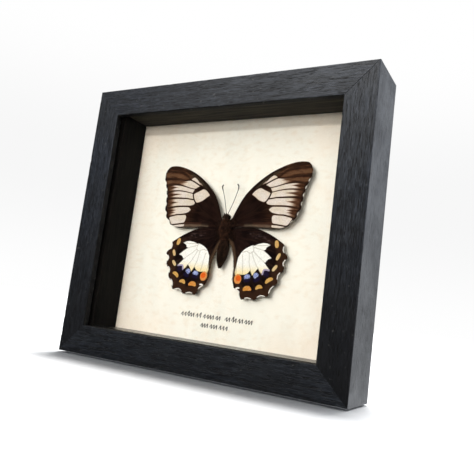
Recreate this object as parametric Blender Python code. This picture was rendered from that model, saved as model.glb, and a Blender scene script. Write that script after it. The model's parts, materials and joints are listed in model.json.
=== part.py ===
"""A spread swallowtail butterfly under glass in a black wooden box frame.

The frame stands on its bottom rail with the glass facing -Y.  The origin is the middle of its footprint.
Depths are measured from the front face of the rails, and the butterfly's outlines from the middle of its thorax.
"""
import math

import bmesh
import bpy
from mathutils import Matrix, Vector

MM = 0.001
GAP = 0.3 * MM

# Frame
FRAME_WIDTH = 200 * MM
FRAME_HEIGHT = 182 * MM
FRAME_DEPTH = 35 * MM
FACE_WIDTH = 18.6 * MM
WALL = 12 * MM
LIP_DEPTH = 4.5 * MM
ARRIS = 0.4 * MM
MITRE_SETBACK = 0.5 * GAP * math.sqrt(2)

# What the rebate holds, from front to back
GLASS_THICK = 2 * MM
PAPER_DEPTH = 30 * MM
PAPER_THICK = 0.4 * MM
BOARD_THICK = 2.5 * MM
SIDE_FILLET = 8.1 * MM
TOP_FILLET = 3.9 * MM
BOTTOM_FILLET = 6.5 * MM

# Back fittings
TAB_SIZE = (9 * MM, 7 * MM)
TAB_PLACES = (-0.25, 0.25)
FITTING_THICK = 0.4 * MM
HANGER_WIDTH = 44 * MM
HANGER_HEIGHT = 9 * MM
HANGER_DROP = 10 * MM
HANGER_TEETH = 11
TOOTHED_SHARE = 0.5
TOOTH_DEPTH = 1.4 * MM
RIVET_RADIUS = 1.8 * MM
RIVET_THICK = 0.5 * MM
RIVET_SPREAD = 0.8

# Butterfly
BODY_X = 2.8 * MM
BODY_Z = 90 * MM
WING_THICK = 0.3 * MM
FOREWING_DEPTH = 25.0 * MM
HINDWING_DEPTH = FOREWING_DEPTH + WING_THICK + GAP
FOREWING_ROOT = 4.15 * MM
HINDWING_ROOT = 4.7 * MM
THORAX_HALF = (3.8 * MM, 3.6 * MM, 5.8 * MM)
THORAX_DEPTH = PAPER_DEPTH - GAP - THORAX_HALF[1]
HEAD_HALF = (2.4 * MM, 2.2 * MM, 2.0 * MM)
HEAD_DEPTH = 24.8 * MM
HEAD_RISE = THORAX_HALF[2] + HEAD_HALF[2] + GAP
ANTENNA_RADIUS = 0.2 * MM
CLUB_SWELL = 0.8

# Wing outlines in millimetres: across from the body's middle line, and up from the middle of the thorax
FOREWING_LEADING = [(4.15, 6.6), (9.4, 20.0), (17.2, 29.6), (27.2, 37.0), (37.2, 41.8), (47.2, 44.1),
                    (52.0, 43.6), (53.9, 42.0)]
FOREWING_TIPS = [(53.9, 42.0), (55.0, 39.0), (54.8, 35.4), (52.7, 30.3), (51.4, 26.0), (50.5, 21.2),
                 (50.0, 15.0), (47.6, 9.2), (42.7, 4.0)]
FOREWING_TRAILING = [(42.7, 4.0), (35.2, 2.2), (22.0, 2.6), (4.15, 1.6)]
FOREWING_DIPS = [0.2, 0.5, 0.6, 0.6, 0.6, 0.6, 0.6, 0.6]
HINDWING_LEADING = [(4.15, 1.0), (12.0, 2.4), (20.0, 2.3), (27.2, 0.5), (34.5, -2.7), (41.4, -6.8)]
HINDWING_TIPS = [(41.4, -6.8), (44.7, -14.5), (43.1, -21.8), (39.5, -30.7), (34.6, -38.9), (25.4, -41.8),
                 (16.8, -42.2), (10.6, -35.2)]
HINDWING_TRAILING = [(10.6, -35.2), (9.0, -30.5), (9.1, -24.7), (8.1, -17.7), (6.2, -11.8), (4.15, -7.0)]
HINDWING_DIPS = [1.3, 1.4, 1.4, 1.1, 1.4, 0.9, 1.2]
# A higher number makes the lobes at the vein tips broader and the notches between them narrower
LOBE_ROUNDNESS = 2.6
# The wings were set by hand and the left ones sit lower.  Rows: new across, new up, each from (across, up, 1)
AS_DRAWN = ((1.0, 0.0, 0.0), (0.0, 1.0, 0.0))
LEFT_FOREWING_SET = ((1.015, -0.054, 0.47), (-0.019, 1.024, -1.0))
LEFT_HINDWING_SET = ((1.028, -0.063, -2.7), (-0.063, 0.993, 0.42))

# Abdomen from the thorax to the tip, in millimetres: across, down, half width, half thickness
ABDOMEN_STATIONS = [(-0.1, 6.1, 1.6, 1.5), (-0.1, 6.8, 2.7, 2.4), (-0.2, 8.5, 3.3, 2.9), (-0.5, 11.5, 3.7, 3.1),
                    (-0.7, 14.5, 3.7, 3.1), (-1.0, 17.5, 3.3, 2.8), (-1.3, 20.5, 2.4, 2.1), (-1.5, 22.6, 1.5, 1.3),
                    (-1.6, 23.6, 0.7, 0.6)]
ABDOMEN_DEPTH = 26.2 * MM
ABDOMEN_SIDES = 20
RIGHT_ANTENNA = [(0.7, 10.5), (2.4, 15.0), (4.1, 20.0), (5.4, 25.0), (5.9, 27.5), (5.6, 29.2), (4.6, 30.4)]
LEFT_ANTENNA = [(-0.5, 10.5), (-2.0, 16.0), (-3.5, 21.0), (-5.1, 25.2), (-6.2, 27.8), (-6.2, 29.0), (-5.5, 29.9)]
ANTENNA_DEPTH = 24.8 * MM


def clear_scene():
    for item in list(bpy.data.objects):
        bpy.data.objects.remove(item, do_unlink=True)


def finish(name, colour, roughness, metallic=0.0):
    material = bpy.data.materials.new(name)
    material.use_nodes = True
    shader = material.node_tree.nodes["Principled BSDF"]
    shader.inputs["Base Color"].default_value = (*colour, 1.0)
    shader.inputs["Roughness"].default_value = roughness
    shader.inputs["Metallic"].default_value = metallic
    return material


def add_object(name, shape, material):
    """Turn a bmesh into a named object with outward faces."""
    bmesh.ops.recalc_face_normals(shape, faces=shape.faces)
    mesh = bpy.data.meshes.new(name)
    shape.to_mesh(mesh)
    shape.free()
    mesh.materials.append(material)
    item = bpy.data.objects.new(name, mesh)
    bpy.context.scene.collection.objects.link(item)
    return item


def depth_to_y(depth):
    return depth - 0.5 * FRAME_DEPTH


def add_arris(item, width, segments):
    bevel = item.modifiers.new("arris", "BEVEL")
    bevel.width = width
    bevel.segments = segments
    bevel.limit_method = "ANGLE"
    bevel.angle_limit = math.radians(30)


def slab(name, low, high, material):
    """A box from its low corner to its high corner."""
    shape = bmesh.new()
    bmesh.ops.create_cube(shape, size=1.0)
    size = Vector(high) - Vector(low)
    middle = 0.5 * (Vector(high) + Vector(low))
    bmesh.ops.scale(shape, vec=size, verts=shape.verts)
    bmesh.ops.translate(shape, vec=middle, verts=shape.verts)
    return add_object(name, shape, material)


def extrude_outline(name, outline, front, thick, material):
    """A flat plate: the outline is filled at the front depth and pushed back by its thickness."""
    shape = bmesh.new()
    ring = [shape.verts.new((x, depth_to_y(front), z)) for x, z in outline]
    face = shape.faces.new(ring)
    pushed = bmesh.ops.extrude_face_region(shape, geom=[face])
    moved = [part for part in pushed["geom"] if isinstance(part, bmesh.types.BMVert)]
    bmesh.ops.translate(shape, vec=(0, thick, 0), verts=moved)
    bmesh.ops.triangulate(shape, faces=shape.faces)
    return add_object(name, shape, material)


def make_rail(name, length, reach, turn, material):
    """One mitred rail: an L section extruded along its length, then turned into its place."""
    section = [(0, 0), (FACE_WIDTH, 0), (FACE_WIDTH, LIP_DEPTH), (WALL, LIP_DEPTH), (WALL, FRAME_DEPTH),
               (0, FRAME_DEPTH)]
    shape = bmesh.new()
    ring = []
    for inward, depth in section:
        along = 0.5 * length - inward - MITRE_SETBACK
        ring.append(shape.verts.new((-along, depth_to_y(depth), reach - inward)))
    face = shape.faces.new(ring)
    pushed = bmesh.ops.extrude_face_region(shape, geom=[face])
    for part in pushed["geom"]:
        if isinstance(part, bmesh.types.BMVert):
            part.co.x = -part.co.x
    bmesh.ops.rotate(shape, matrix=Matrix.Rotation(turn, 3, "Y"), verts=shape.verts)
    bmesh.ops.translate(shape, vec=(0, 0, 0.5 * FRAME_HEIGHT), verts=shape.verts)
    rail = add_object(name, shape, material)
    add_arris(rail, ARRIS, 2)


def make_rails(material):
    half_width = 0.5 * FRAME_WIDTH
    half_height = 0.5 * FRAME_HEIGHT
    make_rail("rail_top", FRAME_WIDTH, half_height, 0.0, material)
    make_rail("rail_right", FRAME_HEIGHT, half_width, 0.5 * math.pi, material)
    make_rail("rail_bottom", FRAME_WIDTH, half_height, math.pi, material)
    make_rail("rail_left", FRAME_HEIGHT, half_width, -0.5 * math.pi, material)


def make_filling(glass, card, paper, board):
    """Glass, fillets, paper and backing board, stacked in the rebate."""
    half = 0.5 * FRAME_WIDTH - WALL - GAP
    low = WALL + GAP
    high = FRAME_HEIGHT - WALL - GAP
    glass_front = LIP_DEPTH + GAP
    glass_back = glass_front + GLASS_THICK
    slab("glass", (-half, depth_to_y(glass_front), low), (half, depth_to_y(glass_back), high), glass)
    front = depth_to_y(glass_back + GAP)
    back = depth_to_y(PAPER_DEPTH - GAP)
    inner = half - SIDE_FILLET
    slab("fillet_left", (-half, front, low), (-inner, back, high), card)
    slab("fillet_right", (inner, front, low), (half, back, high), card)
    slab("fillet_top", (-inner + GAP, front, high - TOP_FILLET), (inner - GAP, back, high), card)
    slab("fillet_bottom", (-inner + GAP, front, low), (inner - GAP, back, low + BOTTOM_FILLET), card)
    paper_back = PAPER_DEPTH + PAPER_THICK
    slab("backing_paper", (-half, depth_to_y(PAPER_DEPTH), low), (half, depth_to_y(paper_back), high), paper)
    board_front = paper_back + GAP
    board_back = board_front + BOARD_THICK
    slab("backing_board", (-half, depth_to_y(board_front), low), (half, depth_to_y(board_back), high), board)
    return board_back


def make_tabs(board_back, material):
    """Two steel tabs on each side hold the board in."""
    front = depth_to_y(board_back + GAP)
    back = front + FITTING_THICK
    reach_x = 0.5 * FRAME_WIDTH - WALL - GAP - 0.5 * TAB_SIZE[1]
    reach_z = 0.5 * FRAME_HEIGHT - WALL - GAP - 0.5 * TAB_SIZE[1]
    places = []
    for along in TAB_PLACES:
        for side in (-1, 1):
            places.append((side * reach_x, along * FRAME_HEIGHT, TAB_SIZE[1], TAB_SIZE[0]))
            places.append((along * FRAME_WIDTH, side * reach_z, TAB_SIZE[0], TAB_SIZE[1]))
    for index, (x, rise, wide, tall) in enumerate(places, start=1):
        z = 0.5 * FRAME_HEIGHT + rise
        low = (x - 0.5 * wide, front, z - 0.5 * tall)
        high = (x + 0.5 * wide, back, z + 0.5 * tall)
        slab(f"holding_tab_{index}", low, high, material)


def make_hanger(board_back, material):
    """A sawtooth strip riveted to the board, low enough in the recess to leave the back flat."""
    top = FRAME_HEIGHT - WALL - HANGER_DROP
    bottom = top - HANGER_HEIGHT
    half = 0.5 * HANGER_WIDTH
    toothed = TOOTHED_SHARE * half
    outline = [(-half, top), (half, top), (half, bottom)]
    for step in range(2 * HANGER_TEETH + 1):
        x = toothed - step * toothed / HANGER_TEETH
        outline.append((x, bottom + TOOTH_DEPTH * (step % 2)))
    outline.append((-half, bottom))
    front = board_back + GAP
    extrude_outline("hanger_strip", outline, front, FITTING_THICK, material)
    for name, side in (("hanger_rivet_left", -1), ("hanger_rivet_right", 1)):
        shape = bmesh.new()
        turn = Matrix.Rotation(0.5 * math.pi, 4, "X")
        y = depth_to_y(front + FITTING_THICK + GAP + 0.5 * RIVET_THICK)
        place = Matrix.Translation((side * RIVET_SPREAD * half, y, 0.5 * (top + bottom)))
        bmesh.ops.create_cone(shape, cap_ends=True, segments=20, radius1=0.8 * RIVET_RADIUS,
                              radius2=RIVET_RADIUS, depth=RIVET_THICK, matrix=place @ turn)
        add_object(name, shape, material)


def smooth_run(points, steps):
    """Points along a Catmull-Rom curve through the given ones; the last one is left to the next run."""
    ends = [points[0]] + list(points) + [points[-1]]
    run = []
    for index in range(len(points) - 1):
        before, start, stop, after = (Vector(point) for point in ends[index:index + 4])
        for step in range(steps):
            t = step / steps
            curve = 2 * start + t * (stop - before) + t * t * (2 * before - 5 * start + 4 * stop - after)
            curve += t ** 3 * (3 * start - before - 3 * stop + after)
            run.append(tuple(0.5 * curve))
    return run


def scalloped_run(tips, dips, steps):
    """A margin that bows inward between each pair of vein tips, and is round at the tips."""
    run = []
    for start, stop, dip in zip(tips, tips[1:], dips):
        chord = Vector(stop) - Vector(start)
        inward = Vector((chord.y, -chord.x)).normalized()
        for step in range(steps):
            t = step / steps
            bow = dip * math.sin(math.pi * t) ** LOBE_ROUNDNESS
            run.append(tuple(Vector(start) + t * chord + bow * inward))
    return run


def make_wing(name, side, stance, leading, tips, trailing, dips, root, front, material):
    """A wing plate from its leading edge, scalloped margin and trailing edge; side is 1 right, -1 left."""
    outline = smooth_run(leading, 4) + scalloped_run(tips, dips, 6) + smooth_run(trailing, 4) + [trailing[-1]]
    placed = []
    for across, up in outline:
        outward, upward = (row[0] * across + row[1] * up + row[2] for row in stance)
        placed.append((BODY_X + side * max(outward * MM, root), BODY_Z + upward * MM))
    return extrude_outline(name, placed, front, WING_THICK, material)


def make_wings(material):
    forewing = (FOREWING_LEADING, FOREWING_TIPS, FOREWING_TRAILING, FOREWING_DIPS,
                FOREWING_ROOT, FOREWING_DEPTH, material)
    hindwing = (HINDWING_LEADING, HINDWING_TIPS, HINDWING_TRAILING, HINDWING_DIPS,
                HINDWING_ROOT, HINDWING_DEPTH, material)
    make_wing("forewing_right", 1, AS_DRAWN, *forewing)
    make_wing("forewing_left", -1, LEFT_FOREWING_SET, *forewing)
    make_wing("hindwing_right", 1, AS_DRAWN, *hindwing)
    make_wing("hindwing_left", -1, LEFT_HINDWING_SET, *hindwing)


def make_ellipsoid(name, middle, half, material):
    shape = bmesh.new()
    bmesh.ops.create_uvsphere(shape, u_segments=24, v_segments=14, radius=1.0)
    bmesh.ops.scale(shape, vec=half, verts=shape.verts)
    bmesh.ops.translate(shape, vec=middle, verts=shape.verts)
    item = add_object(name, shape, material)
    item.data.shade_smooth()


def make_abdomen(material):
    """Oval rings bridged from the thorax to the tip."""
    shape = bmesh.new()
    sides = ABDOMEN_SIDES
    edges = []
    for across, down, half_width, half_thick in ABDOMEN_STATIONS:
        ring = []
        for index in range(sides):
            angle = 2 * math.pi * index / sides
            x = BODY_X + (across + half_width * math.cos(angle)) * MM
            y = depth_to_y(ABDOMEN_DEPTH) + half_thick * math.sin(angle) * MM
            ring.append(shape.verts.new((x, y, BODY_Z - down * MM)))
        edges += [shape.edges.new((ring[index], ring[(index + 1) % sides])) for index in range(sides)]
        if down in (ABDOMEN_STATIONS[0][1], ABDOMEN_STATIONS[-1][1]):
            shape.faces.new(ring)
    bmesh.ops.bridge_loops(shape, edges=edges)
    item = add_object("abdomen", shape, material)
    item.data.shade_smooth()


def make_antenna(name, route, material):
    """A bevelled curve that swells into a club over its last third."""
    curve = bpy.data.curves.new(name, "CURVE")
    curve.dimensions = "3D"
    curve.bevel_depth = ANTENNA_RADIUS
    curve.bevel_resolution = 1
    curve.use_fill_caps = True
    points = smooth_run(route, 3) + [route[-1]]
    spline = curve.splines.new("POLY")
    spline.points.add(len(points) - 1)
    for index, (across, up) in enumerate(points):
        x = BODY_X + across * MM
        spline.points[index].co = (x, depth_to_y(ANTENNA_DEPTH), BODY_Z + up * MM, 1.0)
        spline.points[index].radius = 1.0 + CLUB_SWELL * max(0.0, 3 * index / len(points) - 2)
    curve.materials.append(material)
    bpy.context.scene.collection.objects.link(bpy.data.objects.new(name, curve))


def make_butterfly(wing, down, horn):
    make_wings(wing)
    make_ellipsoid("thorax", (BODY_X, depth_to_y(THORAX_DEPTH), BODY_Z), THORAX_HALF, down)
    make_ellipsoid("head", (BODY_X, depth_to_y(HEAD_DEPTH), BODY_Z + HEAD_RISE), HEAD_HALF, down)
    make_abdomen(down)
    make_antenna("antenna_right", RIGHT_ANTENNA, horn)
    make_antenna("antenna_left", LEFT_ANTENNA, horn)


def main():
    clear_scene()
    stained_wood = finish("stained wood", (0.016, 0.018, 0.022), 0.5)
    glass = finish("clear glass", (0.9, 0.95, 0.93), 0.03)
    black_card = finish("black card", (0.008, 0.008, 0.008), 0.4)
    paper = finish("cream paper", (0.85, 0.78, 0.66), 0.9)
    board = finish("backing board", (0.30, 0.19, 0.10), 0.8)
    steel = finish("zinc plated steel", (0.6, 0.6, 0.6), 0.35, 1.0)
    wing = finish("scaled wing", (0.03, 0.015, 0.01), 0.6)
    down = finish("brown down", (0.02, 0.011, 0.008), 0.8)
    horn = finish("dark horn", (0.03, 0.025, 0.02), 0.4)
    make_rails(stained_wood)
    board_back = make_filling(glass, black_card, paper, board)
    make_tabs(board_back, steel)
    make_hanger(board_back, steel)
    make_butterfly(wing, down, horn)


main()
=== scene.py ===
# %% [markdown]
# # A spread swallowtail in a black box frame
#
# The real object is a dried butterfly floating in a shallow box frame: four mitred rails of black-stained
# wood, a pane of glass, black fillets that keep the glass off the insect, a sheet of cream parchment paper and
# a board held in from behind.  The solid model already has the right sizes, so this script loads it as a fixed
# frame, gives the plain solids their real surfaces, and builds the soft and fine things around them: the
# scaled wings with their veins, the furry body, the antennae, the paper and its line of penmanship.

# %% Load the solid model
import json
import math

import bpy
import numpy as np
from mathutils import Matrix, Vector

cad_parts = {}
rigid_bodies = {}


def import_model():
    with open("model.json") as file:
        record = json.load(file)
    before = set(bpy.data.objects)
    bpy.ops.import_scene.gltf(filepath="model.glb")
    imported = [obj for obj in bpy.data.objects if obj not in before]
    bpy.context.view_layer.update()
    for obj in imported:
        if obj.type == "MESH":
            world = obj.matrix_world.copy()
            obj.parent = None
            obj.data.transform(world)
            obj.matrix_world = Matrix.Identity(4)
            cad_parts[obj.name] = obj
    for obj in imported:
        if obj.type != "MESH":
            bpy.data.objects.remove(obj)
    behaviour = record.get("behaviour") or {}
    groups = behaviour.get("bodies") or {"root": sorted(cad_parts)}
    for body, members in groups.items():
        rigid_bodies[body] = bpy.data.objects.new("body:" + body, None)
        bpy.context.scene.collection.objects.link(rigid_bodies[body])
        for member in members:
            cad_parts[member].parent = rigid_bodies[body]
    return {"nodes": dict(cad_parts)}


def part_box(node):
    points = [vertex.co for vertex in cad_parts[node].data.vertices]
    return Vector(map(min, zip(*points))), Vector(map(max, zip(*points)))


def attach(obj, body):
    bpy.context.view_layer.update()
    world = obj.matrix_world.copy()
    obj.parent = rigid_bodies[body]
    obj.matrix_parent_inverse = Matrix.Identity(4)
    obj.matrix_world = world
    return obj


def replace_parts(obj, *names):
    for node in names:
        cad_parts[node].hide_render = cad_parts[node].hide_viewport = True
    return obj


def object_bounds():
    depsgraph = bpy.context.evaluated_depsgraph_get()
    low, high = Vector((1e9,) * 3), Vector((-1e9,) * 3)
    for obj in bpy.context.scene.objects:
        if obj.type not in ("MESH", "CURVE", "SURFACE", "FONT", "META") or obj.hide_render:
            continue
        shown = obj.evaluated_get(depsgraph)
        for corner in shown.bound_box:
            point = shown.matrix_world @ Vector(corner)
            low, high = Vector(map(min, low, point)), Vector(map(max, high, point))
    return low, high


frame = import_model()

MM = 0.001
box_at_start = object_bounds()
scene = bpy.context.scene
print("solid model loaded with", len(frame["nodes"]), "pieces; its box is", box_at_start)

# %% [markdown]
# ## Where the viewer stands
#
# The box frame is seen from its right, from a little below its middle and from quite near, so its right wall
# shows and its upright rails lean together.  A camera can be aimed by turning it about the world's Z axis,
# tipping it, and then rolling it about its own line of sight; writing the three turns one after the other
# keeps each of them readable.

# %% Camera
STANDS_AT = (0.18179, -0.28471, 0.03975)
LENS_MM = 41.28
LOOK_FROM_SIDE, LOOK_UP, ROLL = (math.radians(angle) for angle in (30.23, 7.81, 7.35))

viewer = bpy.data.objects.new("viewer", bpy.data.cameras.new("viewer"))
viewer.data.lens = LENS_MM
viewer.data.clip_start = 0.01
aim = Matrix.Rotation(LOOK_FROM_SIDE, 4, "Z") @ Matrix.Rotation(0.5 * math.pi + LOOK_UP, 4, "X")
viewer.matrix_world = Matrix.Translation(STANDS_AT) @ aim @ Matrix.Rotation(ROLL, 4, "Z")
scene.collection.objects.link(viewer)
scene.camera = viewer
print("camera placed", [round(value, 3) for value in viewer.location])

# %% [markdown]
# ## Small tools for materials
#
# Every finish here is made from a few nodes, so short helpers keep the recipes readable.  `put` adds a node and
# either sets or links each input, `blend` mixes two colours, `layers` lays several over each other, `span`
# stretches one range of numbers onto another, and `grainy` is noise measured in millimetres.  `tone` turns
# everyday 0-255 colour numbers into the linear light that Blender works in.  A recipe is a function that adds
# its nodes to a tree and says what goes into the shader, and `new_finish` makes a material by it.

# %% Colours and nodes
def tone(red, green, blue):
    """Linear RGBA of an everyday colour."""
    shares = [value / 255 for value in (red, green, blue)]
    return tuple(s / 12.92 if s < 0.04045 else ((s + 0.055) / 1.055) ** 2.4 for s in shares) + (1.0,)


def feed(tree, socket, value):
    """Link the socket if the value is another socket, and otherwise set it."""
    if isinstance(value, bpy.types.NodeSocket):
        tree.links.new(value, socket)
    else:
        socket.default_value = value


def put(tree, kind, inputs=None, **settings):
    """Add a shader node, with each input set or linked."""
    node = tree.nodes.new("ShaderNode" + kind)
    for name, value in settings.items():
        setattr(node, name, value)
    for name, value in (inputs or {}).items():
        feed(tree, node.inputs[name], value)
    return node


def sums(tree, operation, first, second=0.0):
    return put(tree, "Math", {0: first, 1: second}, operation=operation).outputs[0]


def times(tree, value, factor):
    return sums(tree, "MULTIPLY", value, factor)


def blend(tree, share, first, second, mode="MIX"):
    return put(tree, "Mix", {0: share, 6: first, 7: second}, data_type="RGBA", blend_type=mode).outputs[2]


def layers(tree, coat, *rows):
    """Lay colours over a coat, one after the other; each row is how much of a colour shows, and the colour."""
    for share, colour in rows:
        coat = blend(tree, share, coat, colour)
    return coat


def span(tree, value, low, high, to_low=0.0, to_high=1.0):
    """Stretch low..high onto to_low..to_high with soft ends."""
    inputs = {"Value": value, "From Min": low, "From Max": high, "To Min": to_low, "To Max": to_high}
    return put(tree, "MapRange", inputs, interpolation_type="SMOOTHSTEP").outputs["Result"]


print("colour helpers ready")

# %% Patterns in millimetres
def millimetres(tree, stretch=(1, 1, 1), shift=(0, 0, 0)):
    """The place on the object in millimetres, squeezed along any axis to draw a pattern out along it."""
    place = put(tree, "TexCoord").outputs["Object"]
    scale = [factor / MM for factor in stretch]
    return put(tree, "Mapping", {"Vector": place, "Scale": scale, "Location": shift}).outputs["Vector"]


def axes(tree):
    return put(tree, "SeparateXYZ", {0: millimetres(tree)}).outputs


def grainy(tree, per_mm, detail=3.0, rough=0.55, stretch=(1, 1, 1), shift=(0, 0, 0)):
    place = millimetres(tree, stretch, shift)
    inputs = {"Vector": place, "Scale": per_mm, "Detail": detail, "Roughness": rough}
    return put(tree, "TexNoise", inputs).outputs["Fac"]


def relief(tree, height, depth_mm, strength=1.0):
    """A bump from a 0-1 height that stands depth_mm high."""
    inputs = {"Height": height, "Distance": depth_mm * MM, "Strength": strength}
    return put(tree, "Bump", inputs).outputs["Normal"]


def new_finish(name, recipe, *details):
    """A material whose one Principled shader gets what the recipe gives it."""
    material = bpy.data.materials.new(name)
    material.use_nodes = True
    tree = material.node_tree
    for socket, value in recipe(tree, *details).items():
        feed(tree, tree.nodes["Principled BSDF"].inputs[socket], value)
    return material


print("pattern helpers ready")

# %% [markdown]
# ## Black-stained wood
#
# The rails are an open-grained wood, stained black and barely varnished.  Up close the stain pools in long
# pores, the raised grain is rubbed to charcoal, and cloudy patches shine more than others.  The grain has to
# run along each rail, so the recipe is a function that is told the rail's direction: it squeezes the noise
# along that axis, which draws the pattern out into streaks.  A wood picture would repeat on all four rails;
# noise in the object's own space never does.  Two marks are painted shade: the lip's edge and the inside of
# the rebate are painted near black, and the upright rails are painted darker towards their feet.

# %% Stained wood
sight_low, sight_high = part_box("rail_left")[1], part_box("rail_top")[0]
SIGHT_MIDDLE = 0.5 * box_at_start[1][2] / MM
SIGHT_HALF = (-sight_low.x / MM, sight_high.z / MM - SIGHT_MIDDLE)
# Painted shade on the upright rails grows from this height down to this one, in millimetres
LOW_SHADE_FROM, LOW_SHADE_TO = 135, 15


def sight_edge_painted_shade(tree):
    """1 on the lip's edge and inside the rebate, where painted shade darkens the wood and roughens it."""
    place = axes(tree)
    wide = sums(tree, "SUBTRACT", sums(tree, "ABSOLUTE", place["X"]), SIGHT_HALF[0])
    rise = sums(tree, "ABSOLUTE", sums(tree, "SUBTRACT", place["Z"], SIGHT_MIDDLE))
    tall = sums(tree, "SUBTRACT", rise, SIGHT_HALF[1])
    return span(tree, sums(tree, "MAXIMUM", wide, tall), 0.35, 0.05)


def stained_wood(tree, stretch, shift, painted_low_shade):
    """The grain runs along the axis that is stretched below 1; the last argument is how much painted shade
    darkens a rail's low end.
    """
    finer, finest = ([along if s < 1 else across for s in stretch]
                     for along, across in ((0.25, 3.0), (0.12, 1.9)))
    streaks = grainy(tree, 0.9, 5.0, 0.65, stretch, shift)
    fine = grainy(tree, 1.0, 4.0, 0.7, finer, shift)
    pores = span(tree, grainy(tree, 1.3, 2.0, 0.5, finest, shift), 0.57, 0.65)
    cloud = grainy(tree, 0.035, 3.0, 0.6, shift=shift)
    nicks = span(tree, grainy(tree, 0.42, 1.0, shift=shift), 0.70, 0.78)
    edge = sight_edge_painted_shade(tree)
    grain = blend(tree, span(tree, streaks, 0.36, 0.66), tone(12, 14, 18), tone(42, 46, 53))
    grain = layers(tree, grain,
                   (span(tree, fine, 0.46, 0.70, 0.0, 0.7), tone(76, 80, 88)),
                   (span(tree, cloud, 0.35, 0.7, 0.0, 0.4), tone(22, 23, 26)),
                   # painted shade: darker towards the low end of an upright rail
                   (span(tree, axes(tree)["Z"], LOW_SHADE_FROM, LOW_SHADE_TO, 0.0, painted_low_shade), tone(14, 14, 17)),
                   # painted shade: the lip's edge and the rebate near black; the pores and the light nicks are
                   # the wood's own
                   (pores, tone(6, 6, 7)), (edge, tone(3, 3, 3)), (times(tree, nicks, 0.4), tone(88, 87, 84)))
    gloss = sums(tree, "ADD", span(tree, cloud, 0.3, 0.7, 0.36, 0.56), times(tree, pores, 0.25))
    gloss = sums(tree, "ADD", gloss, times(tree, edge, 0.5))
    height = sums(tree, "SUBTRACT", times(tree, fine, 0.6), pores)
    return {"Base Color": grain, "Roughness": gloss, "Normal": relief(tree, height, 0.12, 0.7), "IOR": 1.5,
            "Coat Weight": 0.1, "Coat Roughness": 0.35}


print("stained wood recipe ready")

# %% [markdown]
# ## The pane
#
# Picture glass is almost invisible: it shows as a faint veil of reflected room and a little dust.  A fully
# transmitting shader would block the lamps' direct light and leave the box noisy, so shadow rays are let
# straight through and only what the eye sees is real glass.

# %% Clear glass
def clear_glass(tree):
    smears = grainy(tree, 0.05, 2.0, stretch=(1, 1, 0.4))
    clean = blend(tree, span(tree, smears, 0.4, 0.7), tone(252, 252, 252), tone(247, 248, 248))
    seen = tree.nodes["Principled BSDF"].outputs[0]
    open_way = put(tree, "BsdfTransparent", {"Color": tone(250, 250, 250)}).outputs[0]
    is_shadow = put(tree, "LightPath").outputs["Is Shadow Ray"]
    both = put(tree, "MixShader", {0: is_shadow, 1: seen, 2: open_way}).outputs[0]
    feed(tree, tree.nodes["Material Output"].inputs["Surface"], both)
    return {"Base Color": clean, "Roughness": 0.0, "IOR": 1.25, "Transmission Weight": 1.0}


frame["nodes"]["glass"].data.materials[0] = new_finish("clear_glass", clear_glass)
print("glass finished")

# %% [markdown]
# ## Black fillets
#
# Strips line the box from the glass back to the paper.  They are faced with a satin black card whose brushed
# fibres run along the strip, so the lower one catches a pale streaky reflection of the paper when it is seen
# almost edge on.  A low roughness gives that reflection, and stretched noise breaks it into streaks.  The top
# strip is given a lighter colour as painted light.

# %% Satin card
def satin_card(tree, stretch, gloss_low, level, light):
    fibres = grainy(tree, 1.1, 4.0, 0.65, stretch)
    specks = span(tree, grainy(tree, 1.6, 1.0), 0.72, 0.76)
    face = blend(tree, span(tree, fibres, 0.3, 0.7), tone(5, 5, 5), light)
    face = blend(tree, times(tree, specks, 0.3), face, tone(70, 64, 56))
    return {"Base Color": face, "Roughness": span(tree, fibres, 0.3, 0.7, gloss_low, gloss_low + 0.2),
            "Normal": relief(tree, fibres, 0.05, 0.4), "Specular IOR Level": level}


# All four strips are the same card; the top strip's lighter colour is painted light
CARD_PAINTED_LIT, CARD_DARK = tone(76, 71, 62), tone(27, 25, 23)
UPRIGHT_FIBRES = (1, 1, 0.06)
# Each strip: how its fibres are stretched, its least roughness, its specular level and its lighter colour,
# which on the top strip is painted light
FILLETS = {"top": ((0.03, 1, 1), 0.7, 0.2, CARD_PAINTED_LIT), "bottom": ((0.012, 1, 1), 0.22, 0.75, CARD_DARK),
           "left": (UPRIGHT_FIBRES, 0.7, 0.08, CARD_DARK), "right": (UPRIGHT_FIBRES, 0.7, 0.08, CARD_DARK)}
for word, details in FILLETS.items():
    card = new_finish("card_fillet_" + word, satin_card, *details)
    frame["nodes"]["fillet_" + word].data.materials[0] = card
print("fillets finished")

# %% [markdown]
# ## Making pieces from grids and hoops
#
# The paper and the four wings are all thin sheets whose front is a field of heights.  Solidify would do the
# back for us, but writing the two faces and the rim directly keeps the mesh closed, keeps the count of
# triangles known, and lets numbers be painted on every point on the way: how far it is from a vein, or how
# much of it belongs to a pale window.  Rails, rivets, body parts and antennae are hoops of points in a row, and
# one helper joins those.

# %% Mesh helpers
def make_item(name, points, faces, material, smooth=True, flat_faces=()):
    """A mesh object from points in metres, with the given material; it joins the object's one body."""
    mesh = bpy.data.meshes.new(name)
    mesh.from_pydata(np.asarray(points).tolist(), [], [list(face) for face in faces])
    mesh.validate()
    mesh.materials.append(material)
    if smooth:
        mesh.shade_smooth()
    for face in flat_faces:
        mesh.polygons[face].use_smooth = False
    item = bpy.data.objects.new(name, mesh)
    scene.collection.objects.link(item)
    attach(item, "root")
    return item


def paint(item, name, values):
    """Store one number per point under a name that a material can read."""
    attribute = item.data.attributes.new(name, "FLOAT", "POINT")
    attribute.data.foreach_set("value", np.asarray(values, np.float32))


def metres(x, y, z):
    """Points in metres from their three coordinates in millimetres."""
    return np.stack([np.ravel(x), np.ravel(y), np.ravel(z)], 1) * MM


def lattice(across, up):
    """Both coordinates of every crossing of two rulers; the points run up first."""
    return (axis.ravel() for axis in np.meshgrid(across, up, indexing="ij"))


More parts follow.
